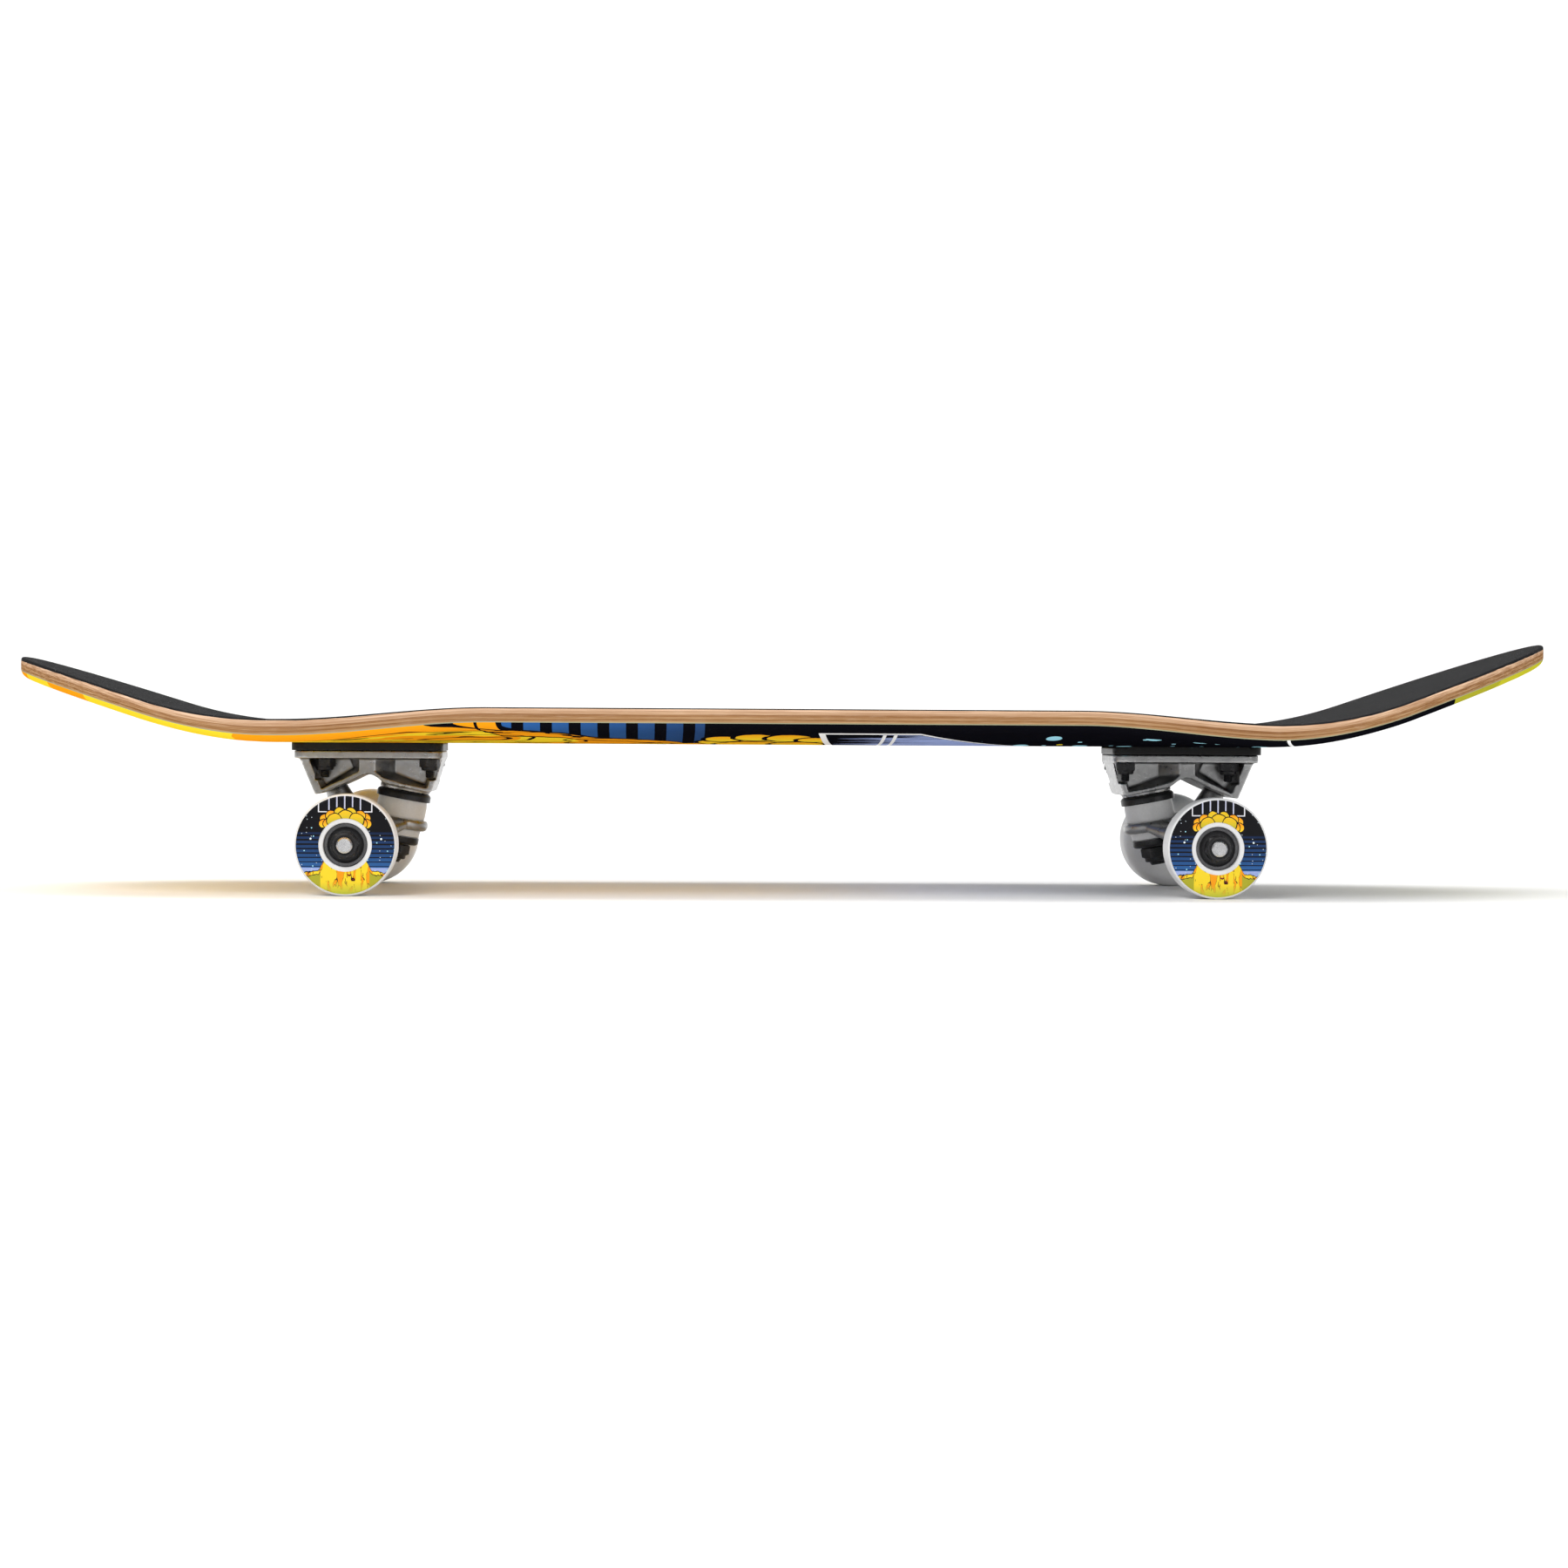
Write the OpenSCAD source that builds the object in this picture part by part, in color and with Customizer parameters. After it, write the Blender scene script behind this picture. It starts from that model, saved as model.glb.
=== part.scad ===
// Street skateboard: concave seven-ply deck, two cast trucks, four urethane wheels.
// +X points to the nose, +Y to the far rail, +Z up. The origin is on the ground under the deck's middle.

/* [Deck] */
// Distance between the two inner rows of bolt holes
wheelbase = 361.95; // [340:0.05:380]
// Tail, from its outer bolt holes to the tip
tail_len = 157.4; // [155:0.1:170]
// Nose, from its outer bolt holes to the tip
nose_len = 169.3; // [165:0.1:180]
// Width of the deck
deck_w = 200; // [195:1:210]
// Thickness of the seven plies together
deck_t = 10.5; // [9.5:0.1:12]
// Thickness of the kicks, which are pressed and sanded thinner
kick_t = 8.8; // [8.5:0.1:10.5]
// Height of the flat underside above the ground
deck_under = 76.5; // [76.5:0.1:78]
// Half width of the flat strip along the middle of the deck
flat_half = 29; // [28.5:0.5:32]
// Height of the rails above the flat strip, between the trucks
concave = 7.4; // [4:0.1:10]
// Height of the rails above the middle of a kick
kick_concave = 0.2; // [0:0.1:5]
// Height that the tail's tip gains over the flat
tail_rise = 32.8; // [28:0.1:36]
// Height that the nose's tip gains over the flat
nose_rise = 44.3; // [38:0.1:46]
// Slope of the tail
tail_angle = 17.6; // [16:0.1:22]
// Slope of the nose
nose_angle = 19.8; // [18:0.1:23]
// Radius of the bend into each kick
kick_r = 205; // [180:5:240]
// Length of the rounded end of the tail
tail_round = 130; // [100:1:140]
// Length of the rounded end of the nose
nose_round = 152; // [120:1:160]
// Round of the rail's lower edge
edge_r_low = 3.5; // [2:0.5:5]
// Round of the rail's upper edge
edge_r_top = 2; // [1:0.5:3]
// Thickness of the grip tape
grip_t = 0.8; // [0.5:0.1:1.2]

/* [Truck hardware] */
// Bolt hole spacing along the deck
bolt_dx = 53.98; // [53.98:0.01:63.5]
// Bolt hole spacing across the deck
bolt_dy = 41.28; // [41:0.01:42]
// Diameter of a mounting bolt
bolt_d = 4.76; // [4.5:0.01:5]
// Length of a mounting bolt
bolt_len = 29.2; // [28:0.1:31]
// Diameter of a bolt's countersunk head
bolt_head_d = 9.2; // [8.5:0.1:10]
// Width across the flats of a mounting nut
bolt_nut_af = 9.5; // [9:0.1:10]
// Height of a mounting nut
bolt_nut_h = 6.2; // [5:0.1:6.4]
// Diameter of the hole that a mounting bolt goes through
bolt_hole_d = 5.2; // [5.1:0.1:5.6]
// Thickness of the riser pad
riser_t = 4.1; // [3:0.1:4.1]

/* [Truck] */
// Distance from a truck's axle to the middle of its bolt pattern
axle_setback = 10.8; // [10:0.1:12]
// Height of the axle above the ground
axle_z = 25.5; // [25.5:0.1:26]
// Full length of an axle
axle_len = 186.6; // [186:0.1:190]
// Diameter of an axle
axle_d = 8; // [7.9:0.05:8]
// Width of the hanger between its wheel faces
hanger_w = 120.4; // [120.4:0.1:121]
// Lean of the kingpin from the vertical
kingpin_lean = 10.5; // [8:0.1:13]
// Diameter of the kingpin
kingpin_d = 9.5; // [9.5:0.05:9.6]
// Diameter of the bushings
bushing_d = 25.8; // [25:0.1:26.4]
// Outer diameter of the hanger's ring
ring_d = 30.6; // [30:0.1:31]

/* [Wheels] */
// Diameter of a wheel
wheel_d = 51; // [50:0.5:51]
// Width of a wheel
wheel_w = 30; // [29:0.5:31]
// Distance from the board's middle plane to a wheel's outer face
wheel_face = 88; // [88:0.1:88.5]
// Outer diameter of a bearing
bearing_od = 22; // [22]
// Bore of a bearing
bearing_id = 8; // [8]
// Width of a bearing
bearing_w = 7; // [7]
// Depth of a bearing behind the face of its wheel
bearing_in = 3; // [2.5:0.1:3]
// Number of balls in a bearing
ball_count = 7; // [6:1:8]
// Thickness of a speed washer
washer_t = 0.8; // [0.5:0.1:0.8]
// Width across the flats of an axle nut
axle_nut_af = 12.7; // [12.5:0.1:13]
// Height of an axle nut
axle_nut_h = 6.5; // [6:0.1:7]

/* [Hidden] */
$fn = 96;

// The deck's length and the places of its trucks
deck_len = tail_len + wheelbase + 2 * bolt_dx + nose_len;
tail_x = -deck_len / 2;
nose_x = deck_len / 2;
rear_base_x = tail_x + tail_len + bolt_dx / 2;
front_base_x = nose_x - nose_len - bolt_dx / 2;
rear_axle_x = rear_base_x - axle_setback;
front_axle_x = front_base_x + axle_setback;
mid_x = (rear_base_x + front_base_x) / 2;
deck_top = deck_under + deck_t;

// How far along the concave is full, and where it has faded out
concave_full = 148;
concave_end = 252;
fade_left = 0.4;
kick_fade = 60;

// Heights of a truck's layers, from the deck down
riser_under = deck_under - riser_t;
flange_t = 4.1;
flange_under = riser_under - flange_t;
plate_x = 6.3;
plate_l = 76.6;
plate_w = 55;
plate_corner = 7;
// The riser pad stands proud of the plate, more so at the pivot's end
riser_x = 5.7;
riser_l = 78.2;
riser_w = 56;
hole_r = bolt_hole_d / 2;

// Middle of the hanger's ring and of the pivot ball, from the axle and above the ground
ring_x = 20.5;
ring_z = 35.4;
pivot_x = -14.5;
pivot_z = 58.3;
pivot_ball_r = 5.5;
pivot_gap = 0.35;
stem_angle = 23.4;

// Places along the kingpin, measured up from the ring's middle
foot_w = 16.4;
washer_rim_w = 12.1;
seat_top_w = 1.6;
seat_low_w = -2.2;
ring_top_w = 2.6;
ring_low_w = -3.2;
roadside_w = -7.2;
low_washer_w = -11.2;
kingpin_nut_h = 8;
kingpin_end_w = -21;
kingpin_head_w = 29.4;
kingpin_head_h = 5.6;
kingpin_af = 14.3;

// Bearings, from the middle of the board out to the nut
wheel_in = wheel_face - wheel_w;
inner_bearing_y = wheel_in + bearing_in + bearing_w / 2;
outer_bearing_y = wheel_face - bearing_in - bearing_w / 2;
inner_race_r = 6;
outer_race_r = 9;
ball_r = 1.95;
pitch_r = 7.5;

// --- Helpers -----------------------------------------------------------------------------------

// A hexagon's circumscribed radius, from its width across the flats
function hex_r(af) = af / 2 / cos(30);

// A smooth step from 0 to 1
function ease(t) = let (k = max(0, min(1, t))) k * k * (3 - 2 * k);

// A plate with round corners, standing on z = 0
module round_plate(l, w, h, r) {
    translate([-l / 2 + r, -w / 2, 0]) cube([l - 2 * r, w, h]);
    translate([-l / 2, -w / 2 + r, 0]) cube([l, w - 2 * r, h]);
    for (sx = [-1, 1], sy = [-1, 1])
        translate([sx * (l / 2 - r), sy * (w / 2 - r), 0]) cylinder(r = r, h = h);
}

// An outline of X and Z, given a width along Y
module side_extrude(w, outline) {
    rotate([90, 0, 0]) linear_extrude(height = w, center = true) polygon(outline);
}

// Puts its children in the place of the rear or the front truck
module rear_truck() {
    translate([rear_axle_x, 0, 0]) children();
}

module front_truck() {
    translate([front_axle_x, 0, 0]) rotate([0, 0, 180]) children();
}

// Puts its children on the kingpin: z runs up the kingpin from the ring's middle
module on_kingpin() {
    translate([ring_x, 0, ring_z]) rotate([0, kingpin_lean, 0]) children();
}

// Puts its children on the pivot: z runs up the stem from the pivot's middle
module on_stem() {
    translate([pivot_x, 0, pivot_z]) rotate([0, -stem_angle, 0]) children();
}

// Puts its children on the axle: z runs out along the axle from the board's middle plane
module on_axle(side) {
    translate([0, 0, axle_z]) rotate([-90 * side, 0, 0]) children();
}

// The four bolt places of one truck, in the truck's own frame
module at_bolts() {
    for (sx = [-1, 1], sy = [-1, 1])
        translate([axle_setback + sx * bolt_dx / 2, sy * bolt_dy / 2, 0]) children();
}

// A hexagonal nut with a round bore and a collar that holds its locking ring
module lock_nut(af, h, bore_r) {
    difference() {
        union() {
            cylinder(r = hex_r(af), h = h * 0.72, $fn = 6);
            cylinder(r = af / 2 - 0.3, h = h);
        }
        translate([0, 0, -1]) cylinder(r = bore_r, h = h + 2);
    }
}

// --- Deck --------------------------------------------------------------------------------------

// Height gained at a distance d past the start of a kick's bend
function kick_height(d, a) =
    d <= 0 ? 0
    : d < kick_r * sin(a) ? kick_r - sqrt(kick_r * kick_r - d * d)
    : kick_r * (1 - cos(a)) + (d - kick_r * sin(a)) * tan(a);

// Distance from the start of the bend to the tip, for a kick of a given rise and slope
function kick_len(rise, a) = kick_r * sin(a) + (rise - kick_r * (1 - cos(a))) / tan(a);

// Slope of the deck at a distance d past the start of a kick's bend
function kick_slope(d, a) = d <= 0 ? 0 : min(a, asin(min(1, d / kick_r)));

tail_bend_x = tail_x + kick_len(tail_rise, tail_angle);
nose_bend_x = nose_x - kick_len(nose_rise, nose_angle);

// Height of the deck's middle line above its flat
function middle_height(x) =
    kick_height(tail_bend_x - x, tail_angle) + kick_height(x - nose_bend_x, nose_angle);

// How far a place is into a kick: 0 where the bend starts, 1 from kick_fade on
function kick_part(x) = ease(max(tail_bend_x - x, x - nose_bend_x) / kick_fade);

// Height of the rails above the middle line
function rail_lift(x) =
    let (fade = 1 - ease((abs(x - mid_x) - concave_full) / (concave_end - concave_full)))
    fade_left + (concave - fade_left) * fade + (kick_concave - fade_left) * kick_part(x);

// Height of the deck's upper face, before its edge is rounded
function face_height(x, y) =
    let (t = max(0, (abs(y) - flat_half) / (deck_w / 2 - flat_half)))
    deck_top + middle_height(x) + rail_lift(x) * t * t;

// Thickness measured straight down, which grows where the deck slopes
function upright_thickness(x) =
    let (slope = kick_slope(tail_bend_x - x, tail_angle) + kick_slope(x - nose_bend_x, nose_angle))
    (deck_t + (kick_t - deck_t) * kick_part(x)) / cos(slope);

// Exponents of the rounded ends: the tail is blunter than the nose
tail_blunt = 2.38;
nose_blunt = 2;

// How far a place is into a rounded end: 0 at its start, 1 at the tip
function end_part(x) =
    x < 0 ? max(0, 1 - (x - tail_x) / tail_round) : max(0, 1 - (nose_x - x) / nose_round);
function end_blunt(x) = x < 0 ? tail_blunt : nose_blunt;
function end_length(x) = x < 0 ? tail_round : nose_round;

// Half width of the deck's outline
function half_width(x) =
    let (n = end_blunt(x)) deck_w / 2 * pow(max(0, 1 - pow(end_part(x), n)), 1 / n);

// Distance from a place inside the outline to the outline
function edge_distance(x, y) =
    let (n = end_blunt(x), u = end_part(x), v = abs(y) / (deck_w / 2))
    let (gx = n * pow(u, n - 1) / end_length(x), gy = n * pow(v, n - 1) / (deck_w / 2))
    max(0, 1 - pow(u, n) - pow(v, n)) / max(0.0001, sqrt(gx * gx + gy * gy));

// How far a rounded edge of radius r falls back at a distance d from the outline
function edge_fall(d, r) = d >= r ? 0 : r - sqrt(r * r - (r - d) * (r - d));

function deck_upper(x, y) = face_height(x, y) - edge_fall(edge_distance(x, y), edge_r_top);
function deck_lower(x, y) =
    face_height(x, y) - upright_thickness(x) + edge_fall(edge_distance(x, y), edge_r_low);

// Places along the deck: close together at the tips, wide apart where nothing changes
end_zone = 130;
end_steps = 22;
tip_gap = 0.04;
end_places = [for (i = [0:end_steps]) max(tip_gap, end_zone * pow(i / end_steps, 2))];
mid_steps = 44;
mid_skip = 11;
mid_places = [
    for (k = [1:mid_steps - 1])
        let (x = tail_x + end_zone + k * (deck_len - 2 * end_zone) / mid_steps)
        if (abs(x - mid_x) > concave_full - 10 || k % mid_skip == 0) x
];
deck_places = concat(
    [for (d = end_places) tail_x + d],
    mid_places,
    [for (i = [end_steps:-1:0]) nose_x - end_places[i]]
);

// Places across half the deck, as parts of the half width at that station
flat_parts = [0, 0.15, 0.29, 0.43, 0.57, 0.71, 0.83, 0.92];
rail_parts = [0.96, 0.975, 0.9875, 0.996, 1];
// Places near a tip and at the rail that the grip tape leaves bare
grip_skip = 2;
grip_rail_parts = [0.96, 0.975, 0.9875];

// Mirrors a list of parts to the other half of the deck
function both_sides(parts) = concat([for (i = [len(parts) - 1:-1:1]) -parts[i]], parts);

// Two triangles that make a four-sided facet
function facet(a, b, c, d) = [[a, b, c], [a, c, d]];

// A closed sheet between two heights, both functions of x and y, over a grid of places and parts
module sheet(places, parts, upper, lower) {
    cols = both_sides(parts);
    nx = len(places);
    ny = len(cols);
    under = nx * ny;
    tops = [for (x = places, f = cols) let (y = f * half_width(x)) [x, y, upper(x, y)]];
    lows = [for (x = places, f = cols) let (y = f * half_width(x)) [x, y, lower(x, y)]];
    faces = [
        for (i = [0:nx - 2], j = [0:ny - 2])
            let (a = i * ny + j, b = a + 1, c = a + ny + 1, d = a + ny)
            each concat(facet(a, b, c, d), facet(under + a, under + d, under + c, under + b)),
        for (i = [0:nx - 2])
            let (a = i * ny, b = a + ny, c = a + ny - 1, d = c + ny)
            each concat(facet(under + a, a, b, under + b), facet(under + d, d, c, under + c)),
        for (j = [0:ny - 2])
            let (e = (nx - 1) * ny + j)
            each concat(
                facet(under + j + 1, j + 1, j, under + j),
                facet(under + e, e, e + 1, under + e + 1)
            )
    ];
    polyhedron(points = concat(tops, lows), faces = faces);
}

// Room round a countersunk bolt head, and how deep its seat goes into the deck
head_room_r = bolt_head_d / 2 + 0.3;
head_seat_t = 2.2;
// How far a cutter runs past the faces it opens
past = 5;

module deck() {
    color("burlywood") difference() {
        sheet(deck_places, concat(flat_parts, rail_parts),
            function (x, y) deck_upper(x, y), function (x, y) deck_lower(x, y));
        for (base_x = [rear_base_x, front_base_x], sx = [-1, 1], sy = [-1, 1])
            translate([base_x + sx * bolt_dx / 2, sy * bolt_dy / 2, deck_under - past]) {
                cylinder(r = hole_r, h = deck_t + 2 * past);
                translate([0, 0, past + deck_t - head_seat_t]) cylinder(r = head_room_r, h = 2 * past);
            }
    }
}

module grip_tape() {
    last = len(deck_places) - 1 - grip_skip;
    color([0.09, 0.09, 0.09]) difference() {
        sheet([for (i = [grip_skip:last]) deck_places[i]], concat(flat_parts, grip_rail_parts),
            function (x, y) deck_upper(x, y) + grip_t, function (x, y) deck_upper(x, y));
        for (base_x = [rear_base_x, front_base_x], sx = [-1, 1], sy = [-1, 1])
            translate([base_x + sx * bolt_dx / 2, sy * bolt_dy / 2, deck_top - 1])
                cylinder(r = head_room_r, h = grip_t + 2);
    }
}

// --- Truck hardware ----------------------------------------------------------------------------

// One countersunk bolt with a cross slot, its head level with the grip tape
module mounting_bolt() {
    head_h = 2.6;
    head_top = deck_top + grip_t - 0.2;
    slot_w = 1.2;
    slot_l = 5;
    difference() {
        union() {
            translate([0, 0, head_top - bolt_len]) cylinder(d = bolt_d, h = bolt_len - head_h + 0.2);
            translate([0, 0, head_top - head_h])
                cylinder(d1 = bolt_d, d2 = bolt_head_d, h = head_h);
        }
        for (a = [0, 90])
            translate([0, 0, head_top]) rotate([0, 0, a]) cube([slot_l, slot_w, 3], center = true);
    }
}

module mounting_bolts() {
    color([0.08, 0.08, 0.08]) {
        rear_truck() at_bolts() mounting_bolt();
        front_truck() at_bolts() mounting_bolt();
    }
}

module mounting_nuts() {
    color([0.08, 0.08, 0.08])
        for (front = [false, true])
            translate([front ? front_axle_x : rear_axle_x, 0, 0]) rotate([0, 0, front ? 180 : 0])
                at_bolts()
                    translate([0, 0, flange_under]) rotate([180, 0, 0])
                        lock_nut(bolt_nut_af, bolt_nut_h, bolt_d / 2);
}

module riser_pad() {
    color([0.1, 0.1, 0.1]) difference() {
        translate([riser_x, 0, riser_under]) round_plate(riser_l, riser_w, riser_t, plate_corner);
        at_bolts() translate([0, 0, riser_under - 1]) cylinder(r = hole_r, h = riser_t + 2);
    }
}

// --- Baseplate ---------------------------------------------------------------------------------

// Outline of the casting from the side: pivot leg, arch, kingpin foot and the wall beyond it
base_outline = [
    [-29.4, 69], [-21.1, 49.6], [-17.2, 50.4], [-12, 52.7], [-7.4, 54.6], [-3.2, 56.5], [0.4, 58.3],
    [3, 59.6], [5.8, 60.2], [8.4, 59.9], [10.8, 58.5], [12.9, 56.8], [15.2, 55.2], [24.7, 53.6],
    [36.9, 50.9], [38.8, 51.5], [41.7, 59.6], [44.2, 69]
];
// The two pockets in each side, at the casting's side face and at its web
pivot_pocket = [[-24.4, 68.3], [-17.9, 52.4], [-4, 59], [1.6, 61.9], [1.6, 68.3]];
pivot_pocket_floor = [[-22.8, 68.3], [-16.4, 54.2], [-2, 63.3], [-4, 68.3]];
foot_pocket = [[9.6, 68.3], [9.6, 61.6], [13.5, 58.6], [24.5, 55.4], [36.5, 53], [41, 68.3]];
foot_pocket_floor = [[19.6, 68.3], [19.6, 60.5], [29.6, 56.4], [35, 54.6], [39.4, 68.3]];
base_body_w = 48;
base_web_w = 26;
kingpin_boss_r = 13;
cup_r = 8.2;
// Room round each mounting nut, down to just below its bolt's end
nut_room_r = 6.1;
nut_room_h = 11;

// A pocket in one side of the casting, with walls that slope in from its outline to its floor
module side_pocket(side, outline, pocket_floor) {
    hull() {
        translate([0, side * (base_body_w / 2 + 0.5), 0]) side_extrude(0.9, outline);
        translate([0, side * (base_web_w / 2 + 0.5), 0]) side_extrude(0.9, pocket_floor);
    }
}

module baseplate() {
    color("silver") difference() {
        union() {
            translate([plate_x, 0, flange_under]) round_plate(plate_l, plate_w, flange_t, plate_corner);
            difference() {
                side_extrude(base_body_w, base_outline);
                for (side = [-1, 1]) {
                    side_pocket(side, pivot_pocket, pivot_pocket_floor);
                    side_pocket(side, foot_pocket, foot_pocket_floor);
                }
            }
            on_kingpin() translate([0, 0, foot_w]) cylinder(r = kingpin_boss_r, h = 14);
            on_stem() translate([0, 0, -3]) cylinder(r = cup_r + 2.6, h = 11);
        }
        on_kingpin() translate([0, 0, foot_w - 9]) cylinder(r = kingpin_boss_r + 6, h = 9);
        on_kingpin() cylinder(r = kingpin_d / 2 + 0.05, h = 40);
        on_kingpin() translate([0, 0, kingpin_head_w]) cylinder(r = hex_r(kingpin_af) + 0.4, h = 14);
        on_stem() translate([0, 0, -14]) cylinder(r = cup_r, h = 22);
        at_bolts() {
            translate([0, 0, flange_under - 1]) cylinder(r = hole_r, h = flange_t + 2);
            translate([0, 0, flange_under - nut_room_h]) cylinder(r = nut_room_r, h = nut_room_h);
        }
    }
}

// Soft cup in the baseplate that the pivot's ball sits in
module pivot_cup() {
    mouth_r = 7.4;
    rim_below = 5.6;
    floor_above = 8;
    mouth_h = 6;
    color([0.07, 0.07, 0.07]) on_stem() difference() {
        translate([0, 0, -rim_below]) cylinder(r = cup_r, h = rim_below + floor_above);
        sphere(r = pivot_ball_r + pivot_gap);
        translate([0, 0, -mouth_h]) cylinder(r1 = mouth_r, r2 = pivot_ball_r - 0.3, h = mouth_h);
    }
}

// --- Kingpin and bushings ----------------------------------------------------------------------

module kingpin() {
    shank_top = kingpin_head_w + 0.5;
    thread_chamfer = 1;
    color([0.12, 0.12, 0.12]) on_kingpin() {
        translate([0, 0, kingpin_end_w + thread_chamfer])
            cylinder(d = kingpin_d, h = shank_top - kingpin_end_w - thread_chamfer);
        translate([0, 0, kingpin_end_w])
            cylinder(d1 = kingpin_d - 2 * thread_chamfer, d2 = kingpin_d, h = thread_chamfer);
        translate([0, 0, kingpin_head_w]) cylinder(r = hex_r(kingpin_af), h = kingpin_head_h, $fn = 6);
    }
}

module kingpin_nut() {
    color([0.07, 0.07, 0.07])
        on_kingpin() translate([0, 0, low_washer_w]) rotate([180, 0, 0])
            lock_nut(kingpin_af, kingpin_nut_h, kingpin_d / 2);
}

// A dished washer: a flat disc whose rim turns over the bushing's edge
module cup_washer(rim_r, face_r, h, bore_r) {
    plate_t = 2;
    rim_t = 1.2;
    rim_drop = 1.4;
    rotate_extrude() polygon([
        [bore_r, h - plate_t], [rim_r - rim_t, h - plate_t], [rim_r - rim_t, 0], [rim_r, 0],
        [rim_r, h - rim_drop], [(rim_r + face_r) / 2, h - rim_drop / 4], [face_r, h], [bore_r, h]
    ]);
}

// Outer radii of the two washers at their rims
top_washer_r = 14.1;
low_washer_r = 11.9;
washer_dish = 1.6;

module top_washer() {
    color([0.06, 0.06, 0.06]) on_kingpin() translate([0, 0, washer_rim_w])
        cup_washer(top_washer_r, top_washer_r - washer_dish, foot_w - washer_rim_w, bushing_bore_r);
}

module bottom_washer() {
    color([0.06, 0.06, 0.06]) on_kingpin() translate([0, 0, roadside_w]) rotate([180, 0, 0])
        cup_washer(low_washer_r, low_washer_r - washer_dish, roadside_w - low_washer_w, bushing_bore_r);
}

// A bushing is a barrel with a lip that drops into the hanger's ring
lip_r = 7;
bushing_bore_r = kingpin_d / 2 + 0.2;
washer_in_top = foot_w - 2;
washer_in_low = low_washer_w + 2;
// Half of the gap between the two bushings, inside the ring
bushing_split = 0.3;

module boardside_bushing() {
    r = bushing_d / 2;
    color([0.93, 0.93, 0.91]) on_kingpin() rotate_extrude() polygon([
        [bushing_bore_r, bushing_split], [lip_r, bushing_split], [lip_r, seat_top_w], [r - 0.9, seat_top_w],
        [r - 0.3, seat_top_w + 0.7], [r, seat_top_w + 3], [r, washer_rim_w - 2.6],
        [r - 0.25, washer_rim_w - 0.3], [r - 0.25, washer_in_top - 0.6], [r - 0.8, washer_in_top],
        [bushing_bore_r, washer_in_top]
    ]);
}

module roadside_bushing() {
    r = low_washer_r;
    color([0.93, 0.93, 0.91]) on_kingpin() rotate_extrude() polygon([
        [bushing_bore_r, -bushing_split], [lip_r, -bushing_split], [lip_r, seat_low_w], [r, seat_low_w],
        [r + 0.1, seat_low_w - 1], [r - 0.3, roadside_w + 0.6], [r - 1.4, roadside_w + 0.15],
        [r - 1.5, washer_in_low], [bushing_bore_r, washer_in_low]
    ]);
}

// --- Hanger and axle ---------------------------------------------------------------------------

hanger_end_r = 7.6;
hanger_end_l = 9;
ring_bore_r = 7.6;
// Room that the hanger leaves round the lower washer and nut
low_clear_r = 14;

// A disc across the hanger, at a place along it and above the ground
module arm_disc(x, y, z, r) {
    translate([x, y, z]) rotate([90, 0, 0]) cylinder(r = r, h = 2, center = true, $fn = 32);
}

// One arm of the hanger, from the middle of the casting out to the wheel
module hanger_arm(side) {
    hull() {
        arm_disc(2.5, side * 7, 30.5, 12);
        arm_disc(-1, side * 26, 29.5, 9.4);
        on_axle(side) translate([0, 0, hanger_w / 2 - hanger_end_l])
            cylinder(r = hanger_end_r, h = 1, $fn = 32);
    }
    on_axle(side) translate([0, 0, hanger_w / 2 - hanger_end_l])
        cylinder(r = hanger_end_r, h = hanger_end_l);
}

// The shoulder that runs from one side of the ring out along the arm
module hanger_shoulder(side) {
    hull() {
        arm_disc(ring_x + 4.5, side * 11.5, ring_z - 1.3, 2);
        arm_disc(ring_x - 5, side * 13, ring_z - 1.6, 2.8);
        arm_disc(8, side * 22, 30.5, 4.6);
        arm_disc(1, side * 42, 26.8, 6.6);
    }
}

// The hanger's ring, with rounded outer edges
module hanger_ring() {
    r = ring_d / 2;
    on_kingpin() rotate_extrude() polygon([
        [ring_bore_r, ring_low_w], [r - 2, ring_low_w], [r - 0.7, ring_low_w + 0.7],
        [r, ring_low_w + 2.2], [r, ring_top_w - 2], [r - 0.5, ring_top_w - 0.8], [r - 1.4, ring_top_w],
        [ring_bore_r, ring_top_w]
    ]);
}

module hanger() {
    ball_neck_r = 4.6;
    stem_root_r = 10;
    stem_len = 27;
    web_r = 9;
    web_w = 26;
    seat_play = 0.5;
    washer_play = 1.6;
    seat_step = 1.1;
    nut_room = 20;
    color("lightgray") difference() {
        union() {
            for (side = [-1, 1]) {
                hanger_arm(side);
                hanger_shoulder(side);
            }
            hanger_ring();
            hull() {
                on_kingpin() translate([0, 0, ring_low_w + 0.6])
                    cylinder(r = ring_d / 2 - 2, h = ring_top_w - ring_low_w - 1.2, $fn = 32);
                translate([1, 0, 31.5]) rotate([90, 0, 0])
                    cylinder(r = web_r, h = web_w, center = true, $fn = 32);
            }
            on_stem() translate([0, 0, -stem_len]) cylinder(r1 = stem_root_r, r2 = ball_neck_r, h = stem_len);
            on_stem() sphere(r = pivot_ball_r);
        }
        on_kingpin() translate([0, 0, -15]) cylinder(r = ring_bore_r, h = 30);
        on_kingpin() translate([0, 0, seat_top_w]) cylinder(r = bushing_d / 2 + seat_play, h = seat_step);
        on_kingpin() translate([0, 0, ring_top_w]) cylinder(r = top_washer_r + washer_play, h = 18);
        on_kingpin() translate([0, 0, seat_low_w - 2]) cylinder(r = low_washer_r + seat_play, h = 2);
        on_kingpin() translate([0, 0, ring_low_w - nut_room]) cylinder(r = low_clear_r, h = nut_room);
        on_axle(1) translate([0, 0, -hanger_w]) cylinder(r = axle_d / 2, h = 2 * hanger_w);
    }
}

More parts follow.
